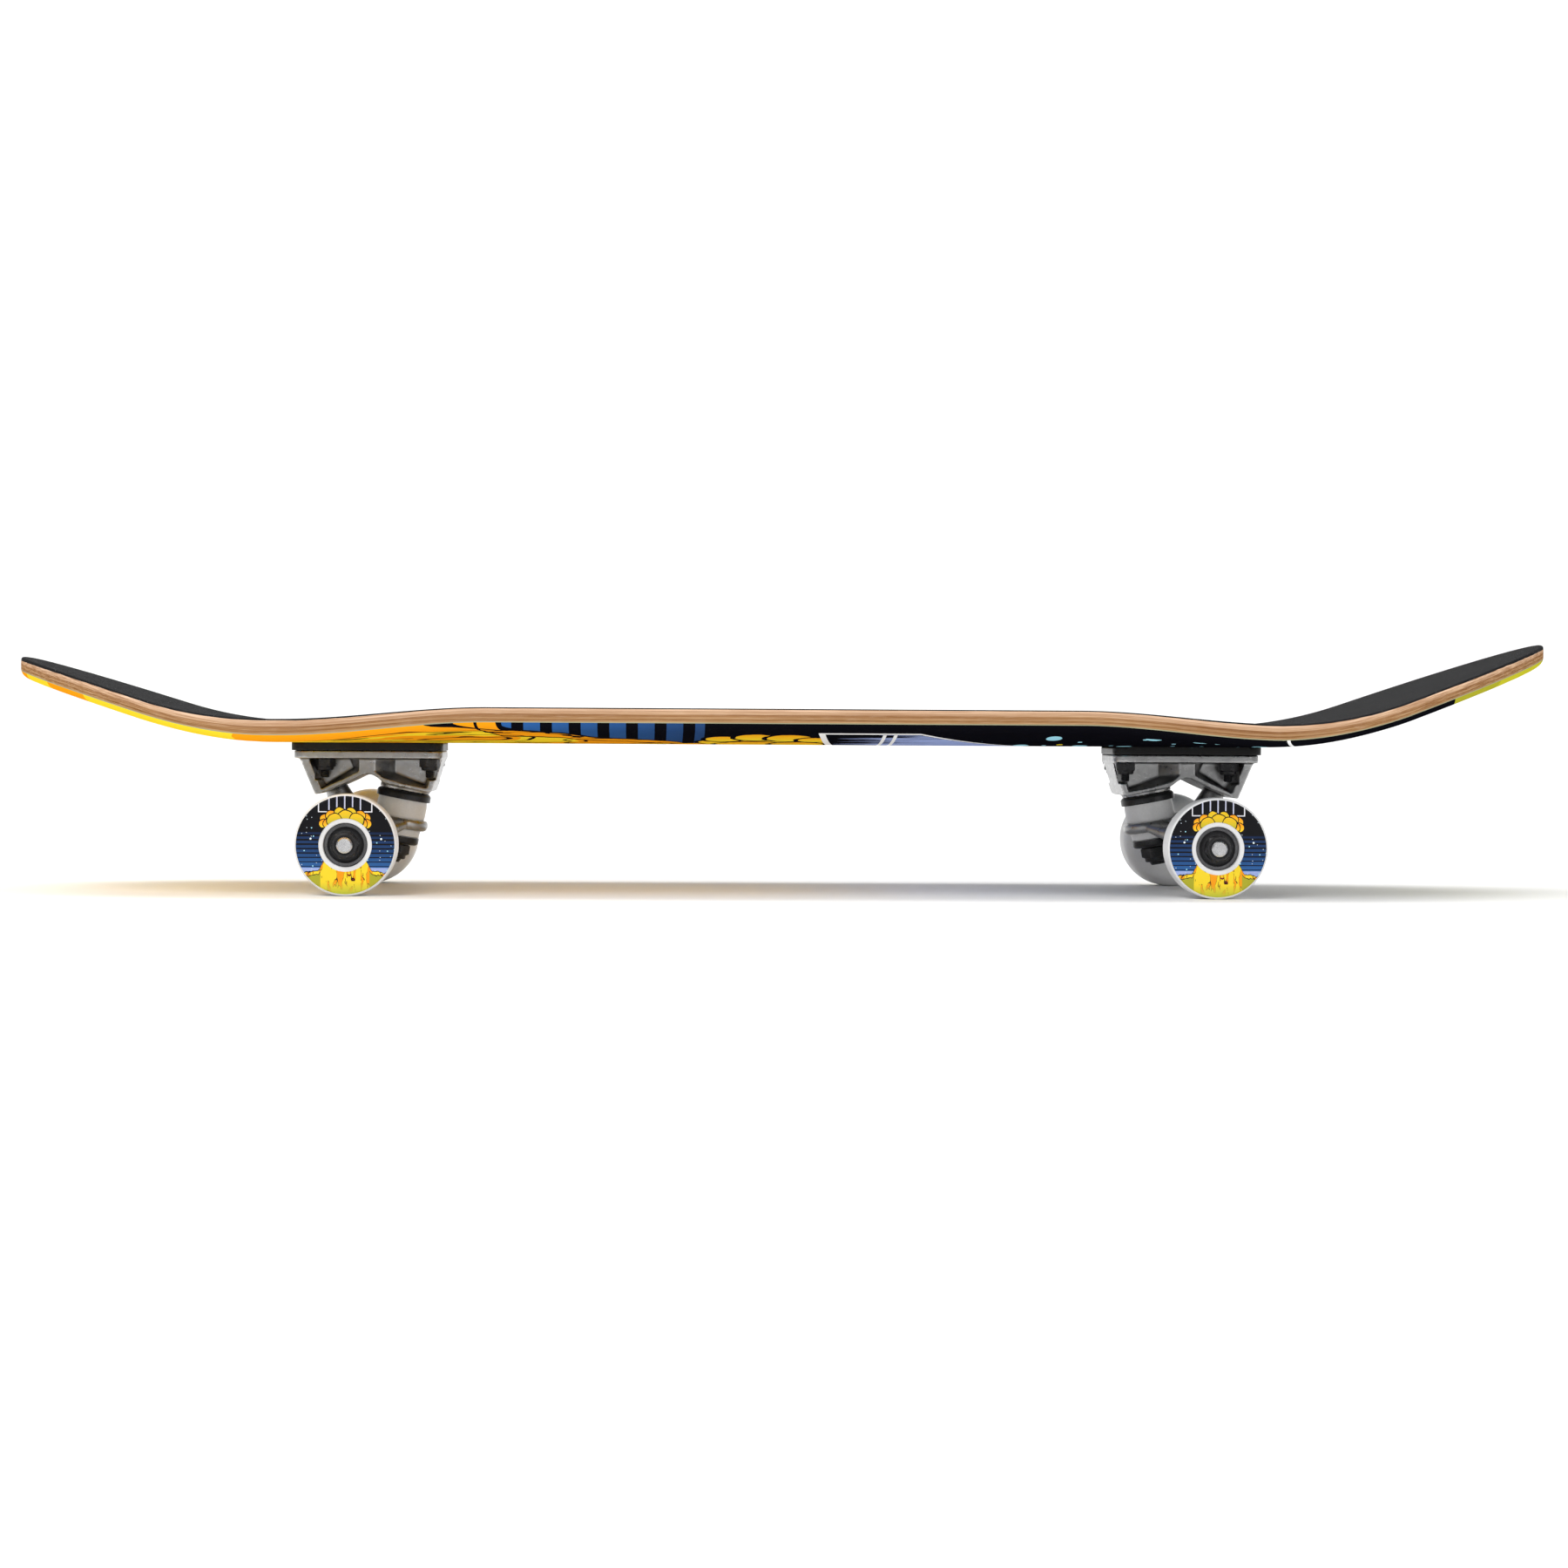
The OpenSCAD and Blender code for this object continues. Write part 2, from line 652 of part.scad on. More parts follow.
// Steel axle with chamfered ends
module axle() {
    end_chamfer = 0.8;
    color([0.75, 0.75, 0.76]) on_axle(1) {
        translate([0, 0, -axle_len / 2 + end_chamfer]) cylinder(d = axle_d, h = axle_len - 2 * end_chamfer);
        for (side = [0, 1])
            mirror([0, 0, side]) translate([0, 0, axle_len / 2 - end_chamfer])
                cylinder(d1 = axle_d, d2 = axle_d - 2 * end_chamfer, h = end_chamfer);
    }
}

module axle_nuts() {
    color([0.1, 0.1, 0.1])
        for (side = [-1, 1])
            on_axle(side) translate([0, 0, outer_bearing_y + bearing_w / 2 + washer_t])
                lock_nut(axle_nut_af, axle_nut_h, axle_d / 2);
}

// Thin washers on both sides of each wheel
module speed_washers() {
    places = [inner_bearing_y - bearing_w / 2 - washer_t, outer_bearing_y + bearing_w / 2];
    color([0.7, 0.7, 0.7])
        for (side = [-1, 1], y = places)
            on_axle(side) translate([0, 0, y]) difference() {
                cylinder(r = inner_race_r - 0.1, h = washer_t);
                translate([0, 0, -1]) cylinder(r = axle_d / 2, h = washer_t + 2);
            }
}

// Tubes that hold the inner races of one wheel apart
module bearing_spacers() {
    spacer_r = 5.2;
    spacer_l = outer_bearing_y - inner_bearing_y - bearing_w;
    color([0.7, 0.7, 0.7])
        for (side = [-1, 1])
            on_axle(side) translate([0, 0, inner_bearing_y + bearing_w / 2]) difference() {
                cylinder(r = spacer_r, h = spacer_l);
                translate([0, 0, -1]) cylinder(r = axle_d / 2, h = spacer_l + 2);
            }
}

// --- Bearings ----------------------------------------------------------------------------------

race_groove = ball_r + 0.1;

// Puts its children on both bearings of one wheel, centred on each bearing
module at_bearings(side) {
    for (y = [inner_bearing_y, outer_bearing_y]) on_axle(side) translate([0, 0, y]) children();
}

module inner_races() {
    color([0.6, 0.6, 0.62])
        for (side = [-1, 1])
            at_bearings(side) difference() {
                cylinder(r = inner_race_r, h = bearing_w, center = true);
                cylinder(r = bearing_id / 2, h = bearing_w + 1, center = true);
                rotate_extrude() translate([pitch_r, 0]) circle(r = race_groove);
            }
}

module outer_races(side) {
    color([0.6, 0.6, 0.62])
        at_bearings(side) difference() {
            cylinder(r = bearing_od / 2, h = bearing_w, center = true);
            cylinder(r = outer_race_r, h = bearing_w + 1, center = true);
            rotate_extrude() translate([pitch_r, 0]) circle(r = race_groove);
        }
}

module balls(side) {
    color("silver")
        at_bearings(side)
            for (i = [0:ball_count - 1])
                rotate([0, 0, i * 360 / ball_count]) translate([pitch_r, 0, 0]) sphere(r = ball_r);
}

module cages(side) {
    cage_in = 6.6;
    cage_out = 8.4;
    cage_h = 4.8;
    cage_wall = cage_out - cage_in;
    color([0.8, 0.7, 0.4])
        at_bearings(side) difference() {
            cylinder(r = cage_out, h = cage_h, center = true);
            cylinder(r = cage_in, h = cage_h + 1, center = true);
            for (i = [0:ball_count - 1])
                rotate([0, 0, i * 360 / ball_count]) translate([pitch_r, 0, 0]) rotate([0, 90, 0])
                    cylinder(r = ball_r + 0.08, h = 2 * cage_wall, center = true);
        }
}

module shields(side) {
    shield_t = 0.3;
    shield_depth = 0.5;
    shield_in = inner_race_r + 0.35;
    color([0.08, 0.08, 0.09])
        at_bearings(side)
            for (face = [-1, 1])
                translate([0, 0, face * (bearing_w / 2 - shield_depth)]) difference() {
                    cylinder(r = outer_race_r, h = shield_t, center = true);
                    cylinder(r = shield_in, h = 1, center = true);
                }
}

// --- Wheels ------------------------------------------------------------------------------------

// Points along an arc that is stretched to half axes a and b
function arc(cx, cy, a, b, from, to, n) =
    [for (i = [0:n]) let (t = from + (to - from) * i / n) [cx + a * cos(t), cy + b * sin(t)]];

tread_l = 13;
wheel_edge_r = 2.2;
seat_shoulder_r = 9.4;
hub_lip_r = 13.2;
hub_lip_h = 0.5;
hub_face_r = 14.2;

// Urethane wheel: rounded outer lip, flat tread, long round inner shoulder, a bearing seat in each side
module wheel(side) {
    r = wheel_d / 2;
    seat_r = bearing_od / 2;
    shoulder_z = wheel_w - wheel_edge_r - tread_l;
    seat_l = bearing_in + bearing_w;
    color([0.94, 0.94, 0.93])
        on_axle(side) translate([0, 0, wheel_in]) rotate_extrude() polygon(concat(
            [[seat_shoulder_r, seat_l], [seat_r, seat_l], [seat_r, 0.6], [seat_r + 0.6, 0]],
            arc(hub_face_r, shoulder_z, r - hub_face_r, shoulder_z, -82, 0, 14),
            arc(r - wheel_edge_r, wheel_w - wheel_edge_r, wheel_edge_r, wheel_edge_r, 0, 90, 5),
            [
                [hub_lip_r + 0.4, wheel_w], [hub_lip_r, wheel_w - hub_lip_h],
                [seat_r + 0.5, wheel_w - hub_lip_h], [seat_r, wheel_w - hub_lip_h - 0.5],
                [seat_r, wheel_w - seat_l], [seat_shoulder_r, wheel_w - seat_l]
            ]
        ));
}

// --- Assembly ----------------------------------------------------------------------------------

deck();
grip_tape();
mounting_bolts();
mounting_nuts();

rear_truck() riser_pad();  // rear_riser_pad
rear_truck() baseplate();  // rear_baseplate
rear_truck() pivot_cup();  // rear_pivot_cup
rear_truck() kingpin();  // rear_kingpin
rear_truck() kingpin_nut();  // rear_kingpin_nut
rear_truck() top_washer();  // rear_top_washer
rear_truck() boardside_bushing();  // rear_boardside_bushing
rear_truck() roadside_bushing();  // rear_roadside_bushing
rear_truck() bottom_washer();  // rear_bottom_washer

front_truck() riser_pad();  // front_riser_pad
front_truck() baseplate();  // front_baseplate
front_truck() pivot_cup();  // front_pivot_cup
front_truck() kingpin();  // front_kingpin
front_truck() kingpin_nut();  // front_kingpin_nut
front_truck() top_washer();  // front_top_washer
front_truck() boardside_bushing();  // front_boardside_bushing
front_truck() roadside_bushing();  // front_roadside_bushing
front_truck() bottom_washer();  // front_bottom_washer

rear_truck() hanger();  // rear_hanger
rear_truck() axle();  // rear_axle
rear_truck() axle_nuts();  // rear_axle_nuts
rear_truck() speed_washers();  // rear_speed_washers
rear_truck() inner_races();  // rear_inner_races
rear_truck() bearing_spacers();  // rear_bearing_spacers

front_truck() hanger();  // front_hanger
front_truck() axle();  // front_axle
front_truck() axle_nuts();  // front_axle_nuts
front_truck() speed_washers();  // front_speed_washers
front_truck() inner_races();  // front_inner_races
front_truck() bearing_spacers();  // front_bearing_spacers

// The front truck is turned round, so its near side is its own +Y side
rear_truck() wheel(-1);  // rear_near_wheel
rear_truck() outer_races(-1);  // rear_near_outer_races
rear_truck() balls(-1);  // rear_near_balls
rear_truck() cages(-1);  // rear_near_cages
rear_truck() shields(-1);  // rear_near_shields

rear_truck() wheel(1);  // rear_far_wheel
rear_truck() outer_races(1);  // rear_far_outer_races
rear_truck() balls(1);  // rear_far_balls
rear_truck() cages(1);  // rear_far_cages
rear_truck() shields(1);  // rear_far_shields

front_truck() wheel(1);  // front_near_wheel
front_truck() outer_races(1);  // front_near_outer_races
front_truck() balls(1);  // front_near_balls
front_truck() cages(1);  // front_near_cages
front_truck() shields(1);  // front_near_shields

front_truck() wheel(-1);  // front_far_wheel
front_truck() outer_races(-1);  // front_far_outer_races
front_truck() balls(-1);  // front_far_balls
front_truck() cages(-1);  // front_far_cages
front_truck() shields(-1);  // front_far_shields
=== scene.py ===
"""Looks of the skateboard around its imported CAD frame. Lengths are in millimetres until a mesh is made."""
import math
import bmesh
import bpy
import numpy as np
from mathutils import Matrix, Vector


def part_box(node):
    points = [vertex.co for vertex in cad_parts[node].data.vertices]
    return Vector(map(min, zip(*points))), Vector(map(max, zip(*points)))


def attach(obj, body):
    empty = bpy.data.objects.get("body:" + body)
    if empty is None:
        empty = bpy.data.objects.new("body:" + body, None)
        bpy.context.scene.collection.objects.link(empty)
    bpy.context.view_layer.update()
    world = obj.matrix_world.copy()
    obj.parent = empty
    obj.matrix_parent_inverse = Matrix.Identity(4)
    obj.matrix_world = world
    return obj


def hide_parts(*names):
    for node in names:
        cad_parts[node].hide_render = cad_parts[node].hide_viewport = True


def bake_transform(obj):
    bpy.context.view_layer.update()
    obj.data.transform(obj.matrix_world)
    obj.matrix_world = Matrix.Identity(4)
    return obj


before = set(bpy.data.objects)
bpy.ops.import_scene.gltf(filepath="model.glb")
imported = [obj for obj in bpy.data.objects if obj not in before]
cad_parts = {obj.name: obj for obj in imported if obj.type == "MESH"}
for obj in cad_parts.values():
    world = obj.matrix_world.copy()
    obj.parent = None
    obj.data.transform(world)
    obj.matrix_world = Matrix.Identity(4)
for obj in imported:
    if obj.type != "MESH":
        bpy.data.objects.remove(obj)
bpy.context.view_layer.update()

MM = 0.001
scene = bpy.context.scene


# --- Camera ---------------------------------------------------------------------------------------

def add_camera():
    """A long lens at the height of the deck, 1.8 m away, turned a little to the nose."""
    place = Vector((-76.95, -1800.7, 80.0)) * MM
    yaw, pitch, roll = math.radians(2.369), math.radians(-0.767), math.radians(0.319)
    ahead = Vector((math.sin(yaw) * math.cos(pitch), math.cos(yaw) * math.cos(pitch), math.sin(pitch)))
    right = ahead.cross(Vector((0, 0, 1))).normalized()
    up = right.cross(ahead)
    tilted_up = up * math.cos(roll) - right * math.sin(roll)
    tilted_right = ahead.cross(tilted_up)
    data = bpy.data.cameras.new("camera")
    data.sensor_width = 36
    data.lens = 78.64
    data.clip_start = 0.05
    camera = bpy.data.objects.new("camera", data)
    scene.collection.objects.link(camera)
    turn = Matrix((tilted_right, tilted_up, -ahead)).transposed()
    camera.matrix_world = Matrix.Translation(place) @ turn.to_4x4()
    scene.camera = camera


add_camera()
scene.view_settings.view_transform = "Standard"


# --- Sizes, from the frame ------------------------------------------------------------------------

def box_mm(node):
    low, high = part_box(node)
    return low / MM, high / MM


def middle_mm(node):
    low, high = box_mm(node)
    return (low + high) / 2


DECK_UNDER = box_mm("deck")[0].z
AXLE_X = {"rear": middle_mm("rear_axle").x, "front": middle_mm("front_axle").x}
AXLE_Z = middle_mm("rear_axle").z
AXLE_END = box_mm("rear_axle")[1].y
# How far each baseplate's middle lies from its axle, toward the middle of the board
AXLE_OFFSET = 10.8
BASE_X = {"rear": AXLE_X["rear"] + AXLE_OFFSET, "front": AXLE_X["front"] - AXLE_OFFSET}
BOLT_DX, BOLT_DY = 53.98, 41.28
DECK_T, KICK_T = 10.5, 8.8
DECK_TOP = DECK_UNDER + DECK_T
GRIP_T = 0.8
RISER_UNDER = box_mm("rear_riser_pad")[0].z
FLANGE_T = 4.1
FLANGE_UNDER = RISER_UNDER - FLANGE_T
RING_X, RING_Z = 20.5, 35.4
HALF_DECK_W = 100.0
HOLE_R, HEAD_ROOM_R, HEAD_SEAT_T = 2.6, 4.9, 2.2
BOLT_LEN = 29.2
BUSHING_BORE_R = 4.95
TOP_WASHER_R, LOW_WASHER_R = 14.1, 11.9
TOP_WASHER_W, LOW_WASHER_W = 12.1, -7.2
WHEEL_R = 25.5
WHEEL_IN, WHEEL_OUT = 58.0, 88.0
BEARING_Y = (64.5, 81.5)
KINGPIN_LEAN = math.radians(10.5)
TRUCKS = ("rear", "front")
SIDES = ("near", "far")


def truck_frame(truck):
    """The truck's own frame: x runs from the axle to the middle of the board."""
    turn = Matrix.Rotation(math.pi, 4, "Z") if truck == "front" else Matrix.Identity(4)
    return Matrix.Translation((AXLE_X[truck], 0, 0)) @ turn


def on_kingpin(truck):
    """z runs up the kingpin from the middle of the hanger's ring."""
    ring = Matrix.Translation((RING_X, 0, RING_Z))
    return truck_frame(truck) @ ring @ Matrix.Rotation(KINGPIN_LEAN, 4, "Y")


def on_axle(truck, side):
    """z runs out along the axle, to the near or the far wheel."""
    out = -1 if side == "near" else 1
    return Matrix.Translation((AXLE_X[truck], 0, AXLE_Z)) @ Matrix.Rotation(-math.pi / 2 * out, 4, "X")


def bolt_places():
    """The eight bolt places of the two trucks."""
    return [
        (BASE_X[truck] + sx * BOLT_DX / 2, sy * BOLT_DY / 2)
        for truck in TRUCKS for sx in (-1, 1) for sy in (-1, 1)
    ]


# --- Mesh helpers ---------------------------------------------------------------------------------

def make(name, points, faces, place=None, sharp=math.radians(40)):
    """An object from points in millimetres, in the row frame once placed, shaded smooth up to an angle."""
    points = np.asarray(points, float)
    if place is not None:
        turn = np.array(place, float)
        points = points @ turn[:3, :3].T + turn[:3, 3]
    mesh = bpy.data.meshes.new(name)
    mesh.from_pydata((points * MM).tolist(), [], faces)
    obj = bpy.data.objects.new(name, mesh)
    scene.collection.objects.link(obj)
    tidy(obj)
    smooth(obj, sharp)
    return obj


def tidy(obj):
    """Merges doubled points and turns every face outwards."""
    bm = bmesh.new()
    bm.from_mesh(obj.data)
    bmesh.ops.remove_doubles(bm, verts=bm.verts, dist=1e-6)
    bmesh.ops.recalc_face_normals(bm, faces=bm.faces)
    bm.to_mesh(obj.data)
    bm.free()


def smooth(obj, sharp):
    obj.data.polygons.foreach_set("use_smooth", [True] * len(obj.data.polygons))
    obj.data.set_sharp_from_angle(angle=sharp)


def apply_modifiers(obj):
    bpy.context.view_layer.update()
    seen = obj.evaluated_get(bpy.context.evaluated_depsgraph_get())
    mesh = bpy.data.meshes.new_from_object(seen)
    obj.modifiers.clear()
    obj.data = mesh


def join(name, parts):
    """One object from several, all in the row frame."""
    bm = bmesh.new()
    for part in parts:
        bm.from_mesh(part.data)
        bpy.data.objects.remove(part)
    mesh = bpy.data.meshes.new(name)
    bm.to_mesh(mesh)
    bm.free()
    obj = bpy.data.objects.new(name, mesh)
    scene.collection.objects.link(obj)
    return obj


def grid_faces(rows, cols, wrap=True):
    """Quads over a grid of points, closed round its columns."""
    last = cols if wrap else cols - 1
    return [
        (r * cols + c, r * cols + (c + 1) % cols, (r + 1) * cols + (c + 1) % cols, (r + 1) * cols + c)
        for r in range(rows - 1) for c in range(last)
    ]


def arc(cx, cy, a, b, start, end, steps):
    """Points along an ellipse's arc, with angles in degrees."""
    angles = [math.radians(start + (end - start) * i / steps) for i in range(steps + 1)]
    return [(cx + a * math.cos(t), cy + b * math.sin(t)) for t in angles]


def hexagon(flats):
    """The radius of a hexagon at each angle, from its width across the flats."""
    return lambda angle: flats / 2 / math.cos((angle % (math.pi / 3)) - math.pi / 6)


def lathe(name, profile, place, segments=96, limit=None, thread=None, sharp=math.radians(40)):
    """A profile of (radius, z) spun round z and closed.

    limit caps the radius at each angle, as a hexagon does. thread is (from z, to z, pitch, depth) for a
    helical groove.
    """
    points = []
    for radius, z in profile:
        for s in range(segments):
            angle = 2 * math.pi * s / segments
            r = radius
            if limit:
                r = min(r, limit(angle))
            if thread and thread[0] <= z <= thread[1] and radius > 1.5:
                turn = (z / thread[2] - angle / (2 * math.pi)) % 1
                r -= thread[3] * abs(2 * turn - 1)
            points.append((r * math.cos(angle), r * math.sin(angle), z))
    rows = len(profile)
    faces = grid_faces(rows, segments)
    if profile[0][0] > 0.01 and profile[-1][0] > 0.01:
        end = (rows - 1) * segments
        faces += [
            (end + s, end + (s + 1) % segments, (s + 1) % segments, s) for s in range(segments)
        ]
    return make(name, points, faces, place, sharp)


def thread_profile(radius, low, high, step):
    count = max(2, int((high - low) / step))
    return [(radius, low + (high - low) * i / count) for i in range(count + 1)]


def dress(obj, body, material, slot, *nodes):
    """Gives a piece its material, its body and the CAD nodes that it stands for. Its slot is not used."""
    obj.data.materials.clear()
    obj.data.materials.append(material)
    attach(obj, body)
    if nodes:
        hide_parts(*nodes)
    return obj


# --- Node helpers ---------------------------------------------------------------------------------

class Graph:
    """A material's node tree with short calls that return sockets."""

    def __init__(self, name):
        self.material = bpy.data.materials.new(name)
        self.material.use_nodes = True
        self.tree = self.material.node_tree
        self.shader = self.tree.nodes["Principled BSDF"]

    def node(self, kind, **values):
        made = self.tree.nodes.new(kind)
        for key, value in values.items():
            setattr(made, key, value)
        return made

    def feed(self, socket, value):
        if isinstance(value, bpy.types.NodeSocket):
            self.tree.links.new(value, socket)
        elif isinstance(value, (tuple, list)) and len(value) == 3 and len(socket.default_value) == 4:
            socket.default_value = (*value, 1)
        else:
            socket.default_value = value

    def set(self, **values):
        for key, value in values.items():
            self.feed(self.shader.inputs[key.replace("_", " ")], value)

    def math(self, kind, a, b=0.0, c=0.0):
        made = self.node("ShaderNodeMath", operation=kind)
        for socket, value in zip(made.inputs, (a, b, c)):
            self.feed(socket, value)
        return made.outputs[0]

    def add(self, a, b): return self.math("ADD", a, b)
    def sub(self, a, b): return self.math("SUBTRACT", a, b)
    def mul(self, a, b): return self.math("MULTIPLY", a, b)
    def over(self, a, b): return self.math("GREATER_THAN", a, b)
    def under(self, a, b): return self.math("LESS_THAN", a, b)
    def both(self, *parts):
        out = parts[0]
        for part in parts[1:]:
            out = self.mul(out, part)
        return out

    def mm(self):
        """The place on the object in millimetres, as x, y and z sockets."""
        coords = self.node("ShaderNodeTexCoord").outputs["Object"]
        scaled = self.node("ShaderNodeVectorMath", operation="SCALE")
        self.feed(scaled.inputs[0], coords)
        scaled.inputs["Scale"].default_value = 1 / MM
        return self.split(scaled.outputs[0])

    def split(self, vector):
        made = self.node("ShaderNodeSeparateXYZ")
        self.feed(made.inputs[0], vector)
        return made.outputs[0], made.outputs[1], made.outputs[2]

    def vector(self, x, y, z=0.0):
        made = self.node("ShaderNodeCombineXYZ")
        for socket, value in zip(made.inputs, (x, y, z)):
            self.feed(socket, value)
        return made.outputs[0]

    def attribute(self, name, output="Fac"):
        return self.node("ShaderNodeAttribute", attribute_name=name).outputs[output]

    def noise(self, vector, scale=1.0, detail=3.0, rough=0.5, distortion=0.0):
        made = self.node("ShaderNodeTexNoise")
        self.feed(made.inputs["Vector"], vector)
        made.inputs["Scale"].default_value = scale
        made.inputs["Detail"].default_value = detail
        made.inputs["Roughness"].default_value = rough
        made.inputs["Distortion"].default_value = distortion
        return made.outputs["Fac"]

    def voronoi(self, vector, scale=1.0, randomness=1.0, flat=False):
        made = self.node("ShaderNodeTexVoronoi", voronoi_dimensions="2D" if flat else "3D")
        self.feed(made.inputs["Vector"], vector)
        made.inputs["Scale"].default_value = scale
        made.inputs["Randomness"].default_value = randomness
        return made.outputs["Distance"], made.outputs["Color"]

    def ramp(self, factor, stops, mode="LINEAR"):
        made = self.node("ShaderNodeValToRGB")
        bar = made.color_ramp
        bar.interpolation = mode
        while len(bar.elements) < len(stops):
            bar.elements.new(1)
        for element, (place, colour) in zip(bar.elements, stops):
            element.position = place
            element.color = (*colour, 1) if len(colour) == 3 else colour
        self.feed(made.inputs[0], factor)
        return made.outputs[0]

    def span(self, value, low, high, to_low=0.0, to_high=1.0):
        made = self.node("ShaderNodeMapRange", clamp=True)
        for socket, given in zip(made.inputs, (value, low, high, to_low, to_high)):
            self.feed(socket, given)
        return made.outputs[0]

    def mix(self, factor, a, b, kind="MIX"):
        made = self.node("ShaderNodeMix", data_type="RGBA", blend_type=kind)
        self.feed(made.inputs[0], factor)
        self.feed(made.inputs[6], a)
        self.feed(made.inputs[7], b)
        return made.outputs[2]

    def bump(self, height, strength=0.3, distance=0.1):
        made = self.node("ShaderNodeBump")
        made.inputs["Strength"].default_value = strength
        made.inputs["Distance"].default_value = distance * MM
        self.feed(made.inputs["Height"], height)
        self.set(Normal=made.outputs[0])
        return made

    def distance(self, x, y, cx, cy, sx=1.0, sy=1.0):
        """Distance in the plane from a centre, with each way squeezed."""
        dx = self.mul(self.sub(x, cx), 1 / sx)
        dy = self.mul(self.sub(y, cy), 1 / sy)
        return self.math("SQRT", self.add(self.mul(dx, dx), self.mul(dy, dy)))


# --- Colours of the prints ------------------------------------------------------------------------

BLACK = (0.004, 0.004, 0.006)
YELLOW = (0.90, 0.66, 0.03)
ORANGE = (0.90, 0.34, 0.01)
OLIVE = (0.42, 0.40, 0.03)
RED = (0.42, 0.03, 0.02)
NAVY = (0.012, 0.035, 0.11)
PERIWINKLE = (0.33, 0.41, 0.72)
PALE = (0.36, 0.74, 0.86)
WHITE = (0.86, 0.86, 0.86)


def paint_cloud(g, paint, x, y, puffs, light, dark, line):
    """Round puffs laid one over the other, each with a dark outline of the given width."""
    wobble = g.mul(g.sub(g.noise(g.vector(x, y), 0.12, 2), 0.5), 3.0)
    for cx, cy, radius in puffs:
        away = g.add(g.distance(x, y, cx, cy), wobble)
        fill = g.mix(g.span(g.sub(y, cy), -radius, radius * 0.6), light, dark)
        paint = g.mix(g.under(away, radius), paint, BLACK)
        paint = g.mix(g.under(away, radius - line), paint, fill)
    return paint


def paint_stars(g, paint, x, y, cell, size, share, colour, seed):
    """Round dots in some of the cells of an uneven grid."""
    away, tint = g.voronoi(g.vector(g.add(x, seed * cell), g.add(y, seed)), 1 / cell, flat=True)
    chance = g.split(tint)[0]
    shown = g.both(g.under(away, size / cell), g.over(chance, 1 - share))
    return g.mix(shown, paint, colour)


# --- Materials ------------------------------------------------------------------------------------

